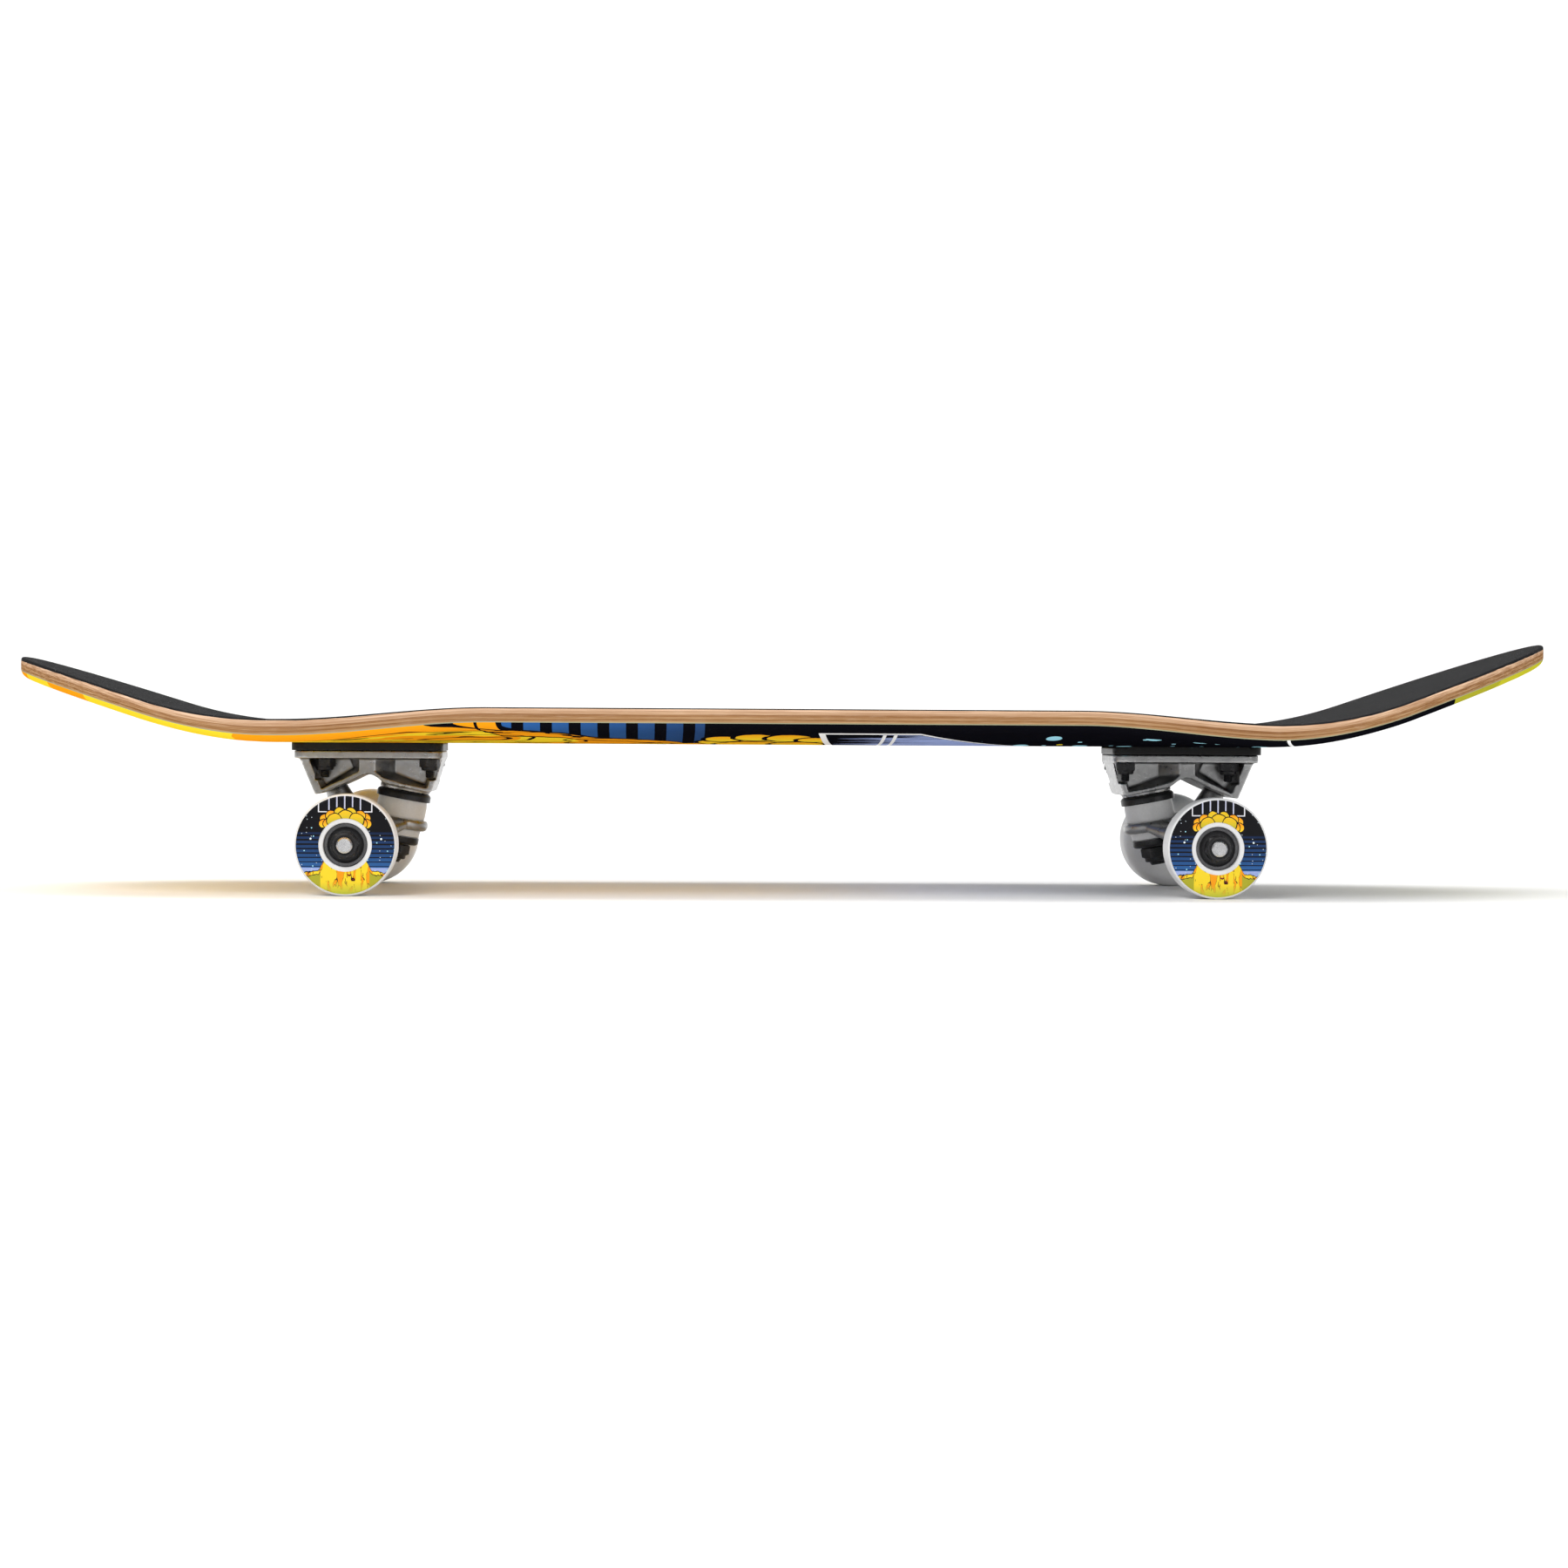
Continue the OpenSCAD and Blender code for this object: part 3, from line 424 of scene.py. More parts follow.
def underside_print(g, x, y):
    """A generic sky: flames from the tail, blue bars, a cloud, a framed panel, then stars to the nose."""
    rail = g.math("ABSOLUTE", y)
    paint = g.mix(0.0, BLACK, BLACK)
    across = g.mul(y, 0.55)
    paint = paint_stars(g, paint, x, across, 17, 1.2, 0.4, PALE, 3.3)
    paint = paint_stars(g, paint, x, across, 27, 4.0, 0.6, PALE, 8.1)
    paint = paint_stars(g, paint, x, across, 40, 1.7, 0.4, YELLOW, 17.5)
    starless = g.math("MAXIMUM", g.math("MAXIMUM", g.over(x, 238), g.under(x, 95)), g.over(rail, 90))
    paint = g.mix(starless, paint, BLACK)

    bar_x = g.math("FRACT", g.mul(x, 1 / 14.2))
    bar_tone = g.mix(g.span(x, -175, -55), (0.03, 0.13, 0.40), (0.022, 0.06, 0.17))
    bars = g.both(g.over(bar_x, 0.42), g.under(x, -46), g.over(x, -300))
    paint = g.mix(g.both(g.under(x, -46), g.over(x, -300)), paint, BLACK)
    paint = g.mix(bars, paint, bar_tone)

    # The flames reach the rails behind the rear truck and die away before the middle
    wave = g.noise(g.vector(g.mul(x, 0.028), g.mul(y, 0.012)), 1.0, 2, 0.4)
    fade = g.ramp(g.span(x, -170, -40), [(0, (1, 1, 1)), (0.18, (0.76, 0.76, 0.76)),
        (0.4, (0.70, 0.70, 0.70)),
                                         (0.86, (0.48, 0.48, 0.48)), (1, (0.0, 0.0, 0.0))])
    edge = g.sub(g.add(g.mul(fade, 128), g.mul(g.sub(wave, 0.5), 26)), rail)
    lick = g.noise(g.vector(g.mul(x, 0.011), g.mul(y, 0.045), 4.0), 1.0, 2, 0.45, 0.6)
    flame = g.mix(g.over(lick, 0.53), YELLOW, ORANGE)
    flame = g.mix(g.under(edge, 15), flame, ORANGE)
    for level in (0.44, 0.58):
        flame = g.mix(g.both(g.over(lick, level), g.under(lick, level + 0.03), g.over(x, -245)), flame, BLACK)
    flame = g.mix(g.both(g.under(edge, 17.5), g.over(edge, 15), g.over(x, -225)), flame, BLACK)
    flame = g.mix(g.under(edge, 3.5), flame, BLACK)
    spot = g.voronoi(g.vector(x, y, 5.5), 1 / 74)
    spot_here = g.over(g.split(spot[1])[1], 0.45)
    flame = g.mix(g.both(g.under(spot[0], 0.085), spot_here), flame, BLACK)
    flame = g.mix(g.both(g.under(spot[0], 0.055), spot_here), flame, RED)
    paint = g.mix(g.both(g.over(edge, 0.0), g.under(x, -38)), paint, flame)

    puffs = [(-44, -30, 24), (-14, -18, 30), (12, -34, 20), (-34, -58, 17), (-8, -64, 22), (14, -56, 14),
             (-22, -44, 20), (2, -46, 16), (-30, 20, 26), (4, 14, 30), (-12, 50, 24), (16, 46, 17),
             (-38, 52, 15),
             (-8, 30, 19), (-36, -72, 12), (-20, -78, 13), (-3, -76, 14), (10, -70, 11)]
    paint = paint_cloud(g, paint, x, y, puffs, ORANGE, YELLOW, 2.6)

    # The framed panel, open to the stars on its right
    left = g.sub(x, g.add(22, g.mul(rail, -0.12)))
    right = g.sub(g.add(157, g.mul(rail, -1.02)), x)
    top = g.sub(93, rail)
    inside = g.math("MINIMUM", g.math("MINIMUM", left, right), top)
    streak = g.noise(g.vector(g.mul(x, 0.012), g.mul(y, 0.42)), 1.0, 2, 0.6)
    shade = g.over(g.add(streak, g.span(x, 5, 85, -0.22, 0.2)), 0.5)
    panel = g.mix(shade, BLACK, PERIWINKLE)
    bars_at = g.add(g.both(g.over(x, 43.5), g.under(x, 45.3)), g.both(g.over(x, 49), g.under(x, 50.8)))
    panel = g.mix(bars_at, panel, WHITE)
    panel = g.mix(g.under(inside, 4.2), panel, BLACK)
    panel = g.mix(g.under(inside, 3.2), panel, WHITE)
    paint = g.mix(g.over(inside, 0), paint, panel)

    slash = g.sub(x, g.add(345, g.mul(rail, -1.0)))
    paint = g.mix(g.both(g.over(slash, 0), g.under(slash, 1.7)), paint, WHITE)

    bow = g.sub(x, g.add(336, g.mul(g.sub(wave, 0.5), 30)))
    paint = g.mix(g.over(bow, 0), paint, BLACK)
    paint = g.mix(g.over(bow, 4), paint, g.mix(g.over(lick, 0.5), (0.55, 0.52, 0.03), OLIVE))
    return paint


def deck_material():
    g = Graph("maple_deck")
    x, y, z = g.mm()
    ply = g.attribute("ply")
    tones = [(0.0, (0.74, 0.53, 0.38)), (0.143, (0.68, 0.46, 0.30)), (0.286, (0.33, 0.17, 0.075)),
             (0.40, (0.54, 0.34, 0.18)), (0.50, (0.27, 0.13, 0.05)), (0.57, (0.46, 0.28, 0.135))]
    wood = g.ramp(ply, tones, "CONSTANT")
    # A smooth ramp through the plies, lightest at the upper face and darkest about a third of the way down:
    # partly the plies' tone, partly painted highlight and shade of the rounded edge band.
    blend = g.ramp(ply, [(0, (0.80, 0.56, 0.39)), (0.2, (0.66, 0.42, 0.25)), (0.36, (0.47, 0.26, 0.12)),
                         (0.55, (0.50, 0.29, 0.13)), (0.66, (0.56, 0.35, 0.18))])
    wood = g.mix(0.45, wood, blend)
    long_grain = g.noise(g.vector(g.mul(x, 0.011), g.mul(y, 0.25), g.mul(ply, 21)), 1.0, 5, 0.62)
    fine_grain = g.noise(g.vector(g.mul(x, 0.09), g.mul(y, 0.9), g.mul(ply, 70)), 1.0, 4, 0.6)
    wood = g.mix(g.span(long_grain, 0.38, 0.66), wood, g.mix(1.0, wood, (0.50, 0.37, 0.27), "MULTIPLY"))
    wood = g.mix(g.span(fine_grain, 0.5, 0.75, 0, 0.5), wood, g.mix(1.0, wood, (0.62, 0.5, 0.4), "MULTIPLY"))
    wood = g.mix(g.span(fine_grain, 0.46, 0.28, 0, 0.35), wood, (0.92, 0.72, 0.54))
    glue = g.math("ABSOLUTE", g.sub(g.math("FRACT", g.mul(ply, 7)), 0.5))
    wood = g.mix(g.span(glue, 0.46, 0.5, 0, 0.45), wood, (0.20, 0.10, 0.04))

    paint = underside_print(g, x, y)
    wood = g.mix(g.over(ply, 0.655), wood, (0.36, 0.35, 0.22))
    printed = g.over(ply, 0.70)
    colour = g.mix(printed, wood, paint)
    scuff = g.noise(g.vector(x, y, z), 0.35, 5, 0.7)
    rough = g.mix(printed, g.span(fine_grain, 0.3, 0.7, 0.42, 0.58), g.span(scuff, 0.3, 0.8, 0.46, 0.6))
    g.set(Base_Color=colour, Roughness=rough, Specular_IOR_Level=0.0)
    height = g.mix(printed, g.add(fine_grain, g.mul(glue, -0.4)), g.mul(scuff, 0.2))
    g.bump(height, 0.25, 0.12)
    return g.material


def grip_material():
    g = Graph("grip_tape")
    x, y, z = g.mm()
    place = g.vector(x, y, z)
    grit = g.voronoi(place, 2.2)
    fine = g.noise(place, 3.0, 4, 0.7)
    patch = g.noise(place, 0.03, 4, 0.6)
    tone = g.ramp(fine, [(0.35, (0.003, 0.003, 0.0035)), (0.75, (0.017, 0.017, 0.019))])
    tone = g.mix(g.span(patch, 0.4, 0.7, 0, 0.35), tone, (0.018, 0.0175, 0.0175))
    glint = g.both(g.over(g.split(grit[1])[0], 0.975), g.under(grit[0], 0.25))
    g.set(Base_Color=g.mix(glint, tone, (0.55, 0.55, 0.58)), Roughness=g.mix(glint, (0.9,) * 3, (0.25,) * 3),
          Specular_IOR_Level=0.15)
    g.bump(g.add(g.mul(grit[0], -1), fine), 0.9, 0.35)
    return g.material


def cast_material(name, tint=0.36):
    g = Graph(name)
    x, y, z = g.mm()
    place = g.vector(x, y, z)
    pits = g.noise(place, 1.6, 5, 0.7)
    clouds = g.noise(place, 0.12, 4, 0.6)
    tumble = g.noise(place, 0.55, 3, 0.6)
    curvature = g.node("ShaderNodeNewGeometry").outputs["Pointiness"]
    dark = (tint * 0.42, tint * 0.42, tint * 0.43)
    base = g.ramp(clouds, [(0.3, (tint * 0.80,) * 3), (0.7, (tint * 1.08,) * 3)])
    # Darker in the hollows: painted shade. Lighter on convex edges: partly rubbed bare metal, partly painted
    # highlight.
    base = g.mix(g.span(curvature, 0.495, 0.44, 0, 0.85), base, dark)
    base = g.mix(g.span(curvature, 0.51, 0.60, 0, 0.8), base, (0.86, 0.86, 0.87))
    base = g.mix(g.span(pits, 0.62, 0.8, 0, 0.5), base, dark)
    rough = g.add(g.span(tumble, 0.3, 0.7, 0.24, 0.42), g.span(curvature, 0.5, 0.44, 0, 0.15))
    g.set(Base_Color=base, Roughness=rough, Metallic=1.0)
    g.bump(g.add(g.mul(pits, 0.5), tumble), 0.35, 0.25)
    return g.material


def metal_material(name, colour, rough, marks=0.12, grain=0.4, along=(1, 1, 1)):
    """A machined or plated metal with fine marks."""
    g = Graph(name)
    x, y, z = g.mm()
    place = g.vector(g.mul(x, along[0]), g.mul(y, along[1]), g.mul(z, along[2]))
    fine = g.noise(place, 2.5, 4, 0.65)
    broad = g.noise(place, 0.2, 3, 0.6)
    low, high = tuple(c * (1 - grain) for c in colour), tuple(min(1, c * (1 + grain * 0.6)) for c in colour)
    g.set(Base_Color=g.ramp(g.add(g.mul(fine, 0.6), g.mul(broad, 0.4)), [(0.35, low), (0.65, high)]),
          Roughness=g.span(fine, 0.3, 0.7, rough - marks * 0.5, rough + marks), Metallic=1.0)
    g.bump(fine, 0.15, 0.08)
    return g.material


def black_oxide(name, shine=0.34):
    g = Graph(name)
    x, y, z = g.mm()
    place = g.vector(x, y, z)
    fine = g.noise(place, 1.8, 4, 0.7)
    curvature = g.node("ShaderNodeNewGeometry").outputs["Pointiness"]
    base = g.ramp(fine, [(0.35, (0.006, 0.006, 0.007)), (0.7, (0.022, 0.022, 0.024))])
    base = g.mix(g.both(g.span(curvature, 0.54, 0.66), g.span(fine, 0.45, 0.6, 0, 0.5)), base, (0.22, 0.22, 0.23))
    g.set(Base_Color=base, Roughness=g.span(fine, 0.3, 0.7, shine, shine + 0.16), Metallic=0.2,
          Specular_IOR_Level=0.35)
    g.bump(fine, 0.2, 0.1)
    return g.material


def moulded(name, low, high, rough, scale=1.2, soft=0.0, strength=0.2):
    """A moulded plastic, rubber or urethane with faint marks."""
    g = Graph(name)
    x, y, z = g.mm()
    place = g.vector(x, y, z)
    fine = g.noise(place, scale, 4, 0.65)
    broad = g.noise(place, 0.06, 3, 0.5)
    base = g.ramp(g.add(g.mul(fine, 0.5), g.mul(broad, 0.5)), [(0.35, low), (0.65, high)])
    shine = 0.2 if low[0] < 0.1 else 0.5
    g.set(Base_Color=base, Roughness=g.span(fine, 0.3, 0.7, rough - 0.06, rough + 0.1),
        Specular_IOR_Level=shine)
    if soft:
        g.shader.inputs["Subsurface Weight"].default_value = soft
        g.shader.inputs["Subsurface Radius"].default_value = (1.0, 1.0, 0.9)
        g.shader.inputs["Subsurface Scale"].default_value = 2.5 * MM
    g.bump(fine, strength, 0.12)
    return g.material


def wheel_print(g, x, z, radius):
    """A generic night scene on the wheel's face: stars over blue stripes, and clouds above and below."""
    paint = g.mix(0.0, BLACK, BLACK)
    stripe = g.math("FRACT", g.mul(z, 1 / 2.15))
    tone = g.ramp(g.span(z, -13, 7), [(0, PERIWINKLE), (0.09, (0.03, 0.12, 0.34)),
        (0.45, (0.015, 0.055, 0.17)),
                                      (0.8, NAVY), (1, (0.005, 0.012, 0.04))])
    striped = g.both(g.under(z, 6.6), g.over(stripe, g.span(z, -11, 6.6, 0.16, 0.5)))
    paint = g.mix(striped, paint, tone)
    paint = g.mix(g.under(z, -11.3), paint, PERIWINKLE)
    paint = paint_stars(g, paint, x, z, 2.6, 0.2, 0.3, (0.62, 0.72, 0.80), 2.2)
    paint = paint_stars(g, paint, x, z, 4.6, 0.33, 0.3, PALE, 6.4)
    paint = paint_stars(g, paint, x, z, 9.0, 0.5, 0.25, (0.80, 0.90, 0.92), 3.9)

    # Pale rods and a frame at the top
    rods = g.math("FRACT", g.mul(g.add(x, 0.6), 1 / 3.9))
    rods_here = g.both(g.over(z, 17.5), g.under(rods, 0.17), g.under(g.math("ABSOLUTE", x), 9.5))
    paint = g.mix(g.both(g.over(z, 15), g.under(g.math("ABSOLUTE", x), 13.6)), paint, BLACK)
    paint = g.mix(rods_here, paint, g.mix(g.span(rods, 0, 0.17), (0.30, 0.32, 0.48), (0.75, 0.76, 0.85)))
    side = g.math("ABSOLUTE", g.sub(g.math("ABSOLUTE", x), 13.2))
    frame_line = g.add(g.both(g.under(side, 0.28), g.over(z, 16.4)),
                       g.both(g.under(g.math("ABSOLUTE", g.sub(z, 16.6)), 0.26),
                       g.under(g.math("ABSOLUTE", x), 13.4)))
    paint = g.mix(g.math("MINIMUM", frame_line, 1), paint, (0.72, 0.72, 0.76))

    puffs = [(-10.2, 13.0, 2.6), (10.2, 13.2, 2.7), (-11, 10.6, 2.3), (11, 10.6, 2.3), (-7.2, 15.0, 2.6),
             (7.4, 15.0, 2.6), (-2.6, 16.0, 2.9), (2.8, 16.0, 2.9), (0, 13.2, 4.4), (-5.2, 12.2, 3.8),
             (5.4, 12.2, 3.8),
             (-8.6, 10.4, 2.4), (8.6, 10.4, 2.4)]
    centre = [puff for puff in puffs if abs(puff[0]) < 6]
    paint = paint_cloud(g, paint, x, z, [puff for puff in puffs if abs(puff[0]) >= 6], YELLOW, ORANGE, 0.5)
    paint = paint_cloud(g, paint, x, z, centre, (0.42, 0.45, 0.03), (0.80, 0.52, 0.02), 0.5)

    # The lower cloud: a wavy bank that rises in the middle
    wave = g.noise(g.vector(x, g.mul(z, 0.3), 3.0), 0.28, 2, 0.5)
    hump = g.math("MULTIPLY", g.span(g.math("ABSOLUTE", x), 13.5, 9.5), 7.2)
    bank = g.sub(g.add(g.add(hump, -13.2), g.mul(g.sub(wave, 0.5), 5.5)), z)
    lick = g.noise(g.vector(g.mul(x, 0.42), g.mul(z, 0.10), 9.0), 1.0, 2, 0.5, 0.4)
    fill = g.mix(g.over(lick, 0.54), YELLOW, ORANGE)
    fill = g.mix(g.both(g.over(lick, 0.53), g.under(lick, 0.548)), fill, BLACK)
    fill = g.mix(g.span(z, -18, -24), fill, (0.50, 0.52, 0.05))
    outer = g.over(g.math("ABSOLUTE", x), 12.2)
    fill = g.mix(g.both(outer, g.over(bank, 2.4)), fill, OLIVE)
    fill = g.mix(g.both(g.over(bank, 2.0), g.under(bank, 2.4), outer), fill, BLACK)
    fill = g.mix(g.under(bank, 0.45), fill, BLACK)
    paint = g.mix(g.over(bank, 0), paint, fill)

    spots = g.voronoi(g.vector(x, z, 7.7), 1 / 4.2)
    low = g.both(g.under(z, -14.5), g.under(g.math("ABSOLUTE", x), 8.5), g.over(g.split(spots[1])[0], 0.45))
    paint = g.mix(g.both(low, g.under(spots[0], 0.30)), paint, BLACK)
    paint = g.mix(g.both(low, g.under(spots[0], 0.22)), paint, RED)
    ring = g.both(g.over(radius, 13.25), g.under(radius, 24.6))
    return paint, ring


def wheel_material():
    g = Graph("urethane_wheel")
    x, z, depth = g.split(g.attribute("print_place", "Vector"))
    ox, oy, oz = g.mm()
    place = g.vector(ox, oy, oz)
    radius = g.math("SQRT", g.add(g.mul(x, x), g.mul(z, z)))
    paint, ring = wheel_print(g, x, z, radius)
    printed = g.both(ring, g.over(depth, -0.35))
    fine = g.noise(place, 0.9, 4, 0.6)
    broad = g.noise(place, 0.08, 3, 0.5)
    urethane = g.ramp(g.add(g.mul(fine, 0.4), g.mul(broad, 0.6)),
        [(0.35, (0.74, 0.74, 0.745)), (0.65, (0.81, 0.81, 0.815))])
    g.set(Base_Color=g.mix(printed, urethane, paint),
          Roughness=g.mix(printed, g.span(fine, 0.3, 0.7, 0.32, 0.46), (0.38,) * 3), Specular_IOR_Level=0.15)
    g.shader.inputs["Subsurface Weight"].default_value = 0.12
    g.shader.inputs["Subsurface Radius"].default_value = (1.0, 1.0, 0.95)
    g.shader.inputs["Subsurface Scale"].default_value = 2.0 * MM
    g.bump(fine, 0.12, 0.1)
    return g.material


MAPLE = deck_material()
GRIP = grip_material()
CASTING = cast_material("cast_aluminium")
OXIDE = black_oxide("black_oxide")
WASHER_BLACK = black_oxide("black_washer", 0.26)
RISER_PLASTIC = moulded("riser_plastic", (0.005, 0.005, 0.005), (0.012, 0.012, 0.012), 0.34)
CUP_RUBBER = moulded("pivot_cup_rubber", (0.006, 0.006, 0.006), (0.014, 0.014, 0.014), 0.6)
BUSHING = moulded("white_urethane", (0.66, 0.66, 0.66), (0.76, 0.76, 0.76), 0.4, 0.8, 0.15)
AXLE_STEEL = metal_material("axle_steel", (0.62, 0.62, 0.63), 0.22, 0.14, 0.25)
BEARING_STEEL = metal_material("bearing_steel", (0.13, 0.13, 0.135), 0.3, 0.12, 0.35)
SHIELD = moulded("bearing_shield", (0.012, 0.012, 0.013), (0.028, 0.028, 0.03), 0.36, 1.5)
CAGE = moulded("ball_cage", (0.45, 0.38, 0.22), (0.55, 0.47, 0.29), 0.45)
WHEEL = wheel_material()


# --- Deck and grip tape ---------------------------------------------------------------------------

# The deck's shape follows the same rules as the CAD deck
KICK_R = 205.0
TAIL_ANGLE, NOSE_ANGLE = math.radians(17.6), math.radians(19.8)
TAIL_RISE, NOSE_RISE = 32.8, 44.3
FLAT_HALF = 29.0
CONCAVE, KICK_CONCAVE, FADE_LEFT = 7.4, 0.2, 0.4
CONCAVE_FULL, CONCAVE_END, KICK_FADE = 148.0, 252.0, 60.0
TAIL_ROUND, NOSE_ROUND = 130.0, 152.0
TAIL_BLUNT, NOSE_BLUNT = 2.38, 2.0
EDGE_LOW, EDGE_TOP = 3.5, 2.0
MID_X = (BASE_X["rear"] + BASE_X["front"]) / 2


def ease(t):
    k = np.clip(t, 0, 1)
    return k * k * (3 - 2 * k)


def kick_height(d, a):
    inside = np.clip(d, 0, KICK_R * math.sin(a))
    bend = KICK_R - np.sqrt(KICK_R ** 2 - inside ** 2)
    return bend + np.maximum(0, d - KICK_R * math.sin(a)) * math.tan(a)


def kick_len(rise, a):
    return KICK_R * math.sin(a) + (rise - KICK_R * (1 - math.cos(a))) / math.tan(a)


TAIL_END, NOSE_END = -398.305, 398.305
TAIL_BEND = TAIL_END + kick_len(TAIL_RISE, TAIL_ANGLE)
NOSE_BEND = NOSE_END - kick_len(NOSE_RISE, NOSE_ANGLE)


def kick_slope(d, a):
    return np.minimum(a, np.arcsin(np.clip(d / KICK_R, 0, 1)))


def kick_part(x):
    """How far x is into a kick: 0 where the bend starts, 1 once the kick is flat across."""
    return ease(np.maximum(TAIL_BEND - x, x - NOSE_BEND) / KICK_FADE)


def face_height(x, y):
    """Height of the deck's upper face before its edge is rounded."""
    fade = 1 - ease((np.abs(x - MID_X) - CONCAVE_FULL) / (CONCAVE_END - CONCAVE_FULL))
    lift = FADE_LEFT + (CONCAVE - FADE_LEFT) * fade + (KICK_CONCAVE - FADE_LEFT) * kick_part(x)
    t = np.maximum(0, (np.abs(y) - FLAT_HALF) / (HALF_DECK_W - FLAT_HALF))
    return DECK_TOP + kick_height(TAIL_BEND - x, TAIL_ANGLE) + kick_height(x - NOSE_BEND,
        NOSE_ANGLE) + lift * t * t


def thickness(x):
    slope = kick_slope(TAIL_BEND - x, TAIL_ANGLE) + kick_slope(x - NOSE_BEND, NOSE_ANGLE)
    return (DECK_T + (KICK_T - DECK_T) * kick_part(x)) / np.cos(slope)


def end_shape(x):
    """How far x is into a rounded end, that end's exponent, and its length."""
    tail = x < 0
    part = np.where(tail, 1 - (x - TAIL_END) / TAIL_ROUND, 1 - (NOSE_END - x) / NOSE_ROUND)
    return np.clip(part, 0, 1), np.where(tail, TAIL_BLUNT, NOSE_BLUNT), np.where(tail, TAIL_ROUND, NOSE_ROUND)


def half_width(x):
    u, n, _ = end_shape(x)
    return HALF_DECK_W * (1 - u ** n) ** (1 / n)


def edge_distance(x, y):
    u, n, length = end_shape(x)
    v = np.abs(y) / HALF_DECK_W
    gx, gy = n * u ** (n - 1) / length, n * v ** (n - 1) / HALF_DECK_W
    return np.maximum(0, 1 - u ** n - v ** n) / np.maximum(1e-4, np.hypot(gx, gy))


def edge_fall(d, r):
    k = np.clip(d, 0, r)
    return r - np.sqrt(r * r - (r - k) ** 2)


def deck_grid(first, rail):
    """Places over the deck as two arrays, close together at the tips and the rails."""
    ends = [max(0.04, 130 * (i / 48) ** 2) for i in range(49)]
    ends = [d for d in ends if d >= first]
    middle = np.linspace(TAIL_END + 130, NOSE_END - 130, 110)[1:-1]
    xs = np.array([TAIL_END + d for d in ends] + list(middle) + [NOSE_END - d for d in reversed(ends)])
    parts = [0, 0.07, 0.145, 0.22, 0.29, 0.36, 0.43, 0.5, 0.57, 0.64, 0.71, 0.77, 0.83, 0.88, 0.92,
        0.945] + rail
    parts = np.array([-p for p in reversed(parts[1:])] + parts)
    x = np.repeat(xs[:, None], len(parts), 1)
    return x, half_width(x) * parts[None, :]


def sheet(name, x, y, upper, lower):
    """A closed sheet between two heights over a grid of places."""
    rows, cols = x.shape
    top = np.stack([x, y, upper], -1).reshape(-1, 3)
    low = np.stack([x, y, lower], -1).reshape(-1, 3)
    n = rows * cols
    quads = grid_faces(rows, cols, wrap=False)
    faces = quads + [tuple(n + i for i in reversed(q)) for q in quads]
    for r in range(rows - 1):
        for a, b in ((r * cols, (r + 1) * cols), ((r + 1) * cols + cols - 1, r * cols + cols - 1)):
            faces.append((a, b, n + b, n + a))
    for c in range(cols - 1):
        end = (rows - 1) * cols + c
        faces += [(c + 1, c, n + c, n + c + 1), (end, end + 1, n + end + 1, n + end)]
    return make(name, np.concatenate([top, low]), faces, sharp=math.radians(60))


def cut(obj, cutters):
    """Takes the cutters out of an object."""
    tool = join("cutter", cutters)
    modifier = obj.modifiers.new("cut", "BOOLEAN")
    modifier.object = tool
    modifier.operation = "DIFFERENCE"
    modifier.solver = "EXACT"
    apply_modifiers(obj)
    bpy.data.objects.remove(tool)


def drill(radius, low, high, segments=40):
    return [
        lathe("drill", [(0, low), (radius, low), (radius, high), (0, high)], Matrix.Translation((x, y, 0)),
        segments)
        for x, y in bolt_places()
    ]


def set_ply(obj):
    """Stores how deep each point lies in the deck: 0 on the upper face, 1 on the lower one."""
    co = np.empty(len(obj.data.vertices) * 3)
    obj.data.vertices.foreach_get("co", co)
    co = co.reshape(-1, 3) / MM
    depth = (face_height(co[:, 0], co[:, 1]) - co[:, 2]) / thickness(co[:, 0])
    layer = obj.data.attributes.new("ply", "FLOAT", "POINT")
    layer.data.foreach_set("value", depth.astype(np.float32))


def build_deck():
    x, y = deck_grid(0.0, [0.96, 0.968, 0.975, 0.982, 0.9885, 0.9935, 0.997, 0.9992, 1])
    away = edge_distance(x, y)
    top = face_height(x, y)
    deck = sheet("deck_board", x, y, top - edge_fall(away, EDGE_TOP),
        top - thickness(x) + edge_fall(away, EDGE_LOW))
    head_seats = drill(HEAD_ROOM_R, DECK_TOP - HEAD_SEAT_T, DECK_TOP + 5)
    cut(deck, drill(HOLE_R, DECK_UNDER - 5, DECK_TOP + 5) + head_seats)
    set_ply(deck)
    smooth(deck, math.radians(50))
    dress(deck, "board", MAPLE, "maple", "deck")


def build_grip():
    """The tape lies on the deck, with its edge filed down and left a little ragged."""
    x, y = deck_grid(1.0, [0.96, 0.97, 0.979, 0.986])
    top = face_height(x, y) - edge_fall(edge_distance(x, y), EDGE_TOP)
    rng = np.random.default_rng(4)
    cols = x.shape[1]
    thin = np.full(x.shape, GRIP_T)
    for c, share in ((0, 0.12), (cols - 1, 0.12), (1, 0.6), (cols - 2, 0.6)):
        thin[:, c] *= share
    y[:, 0] *= 1 + 0.004 * rng.uniform(-1, 1, x.shape[0])
    y[:, -1] *= 1 + 0.004 * rng.uniform(-1, 1, x.shape[0])
    grip = sheet("grip_sheet", x, y, top + thin, top)
    cut(grip, drill(HEAD_ROOM_R, DECK_TOP - 1, DECK_TOP + 5))
    smooth(grip, math.radians(50))
    dress(grip, "board", GRIP, "grip", "grip_tape")


# --- Fasteners ------------------------------------------------------------------------------------

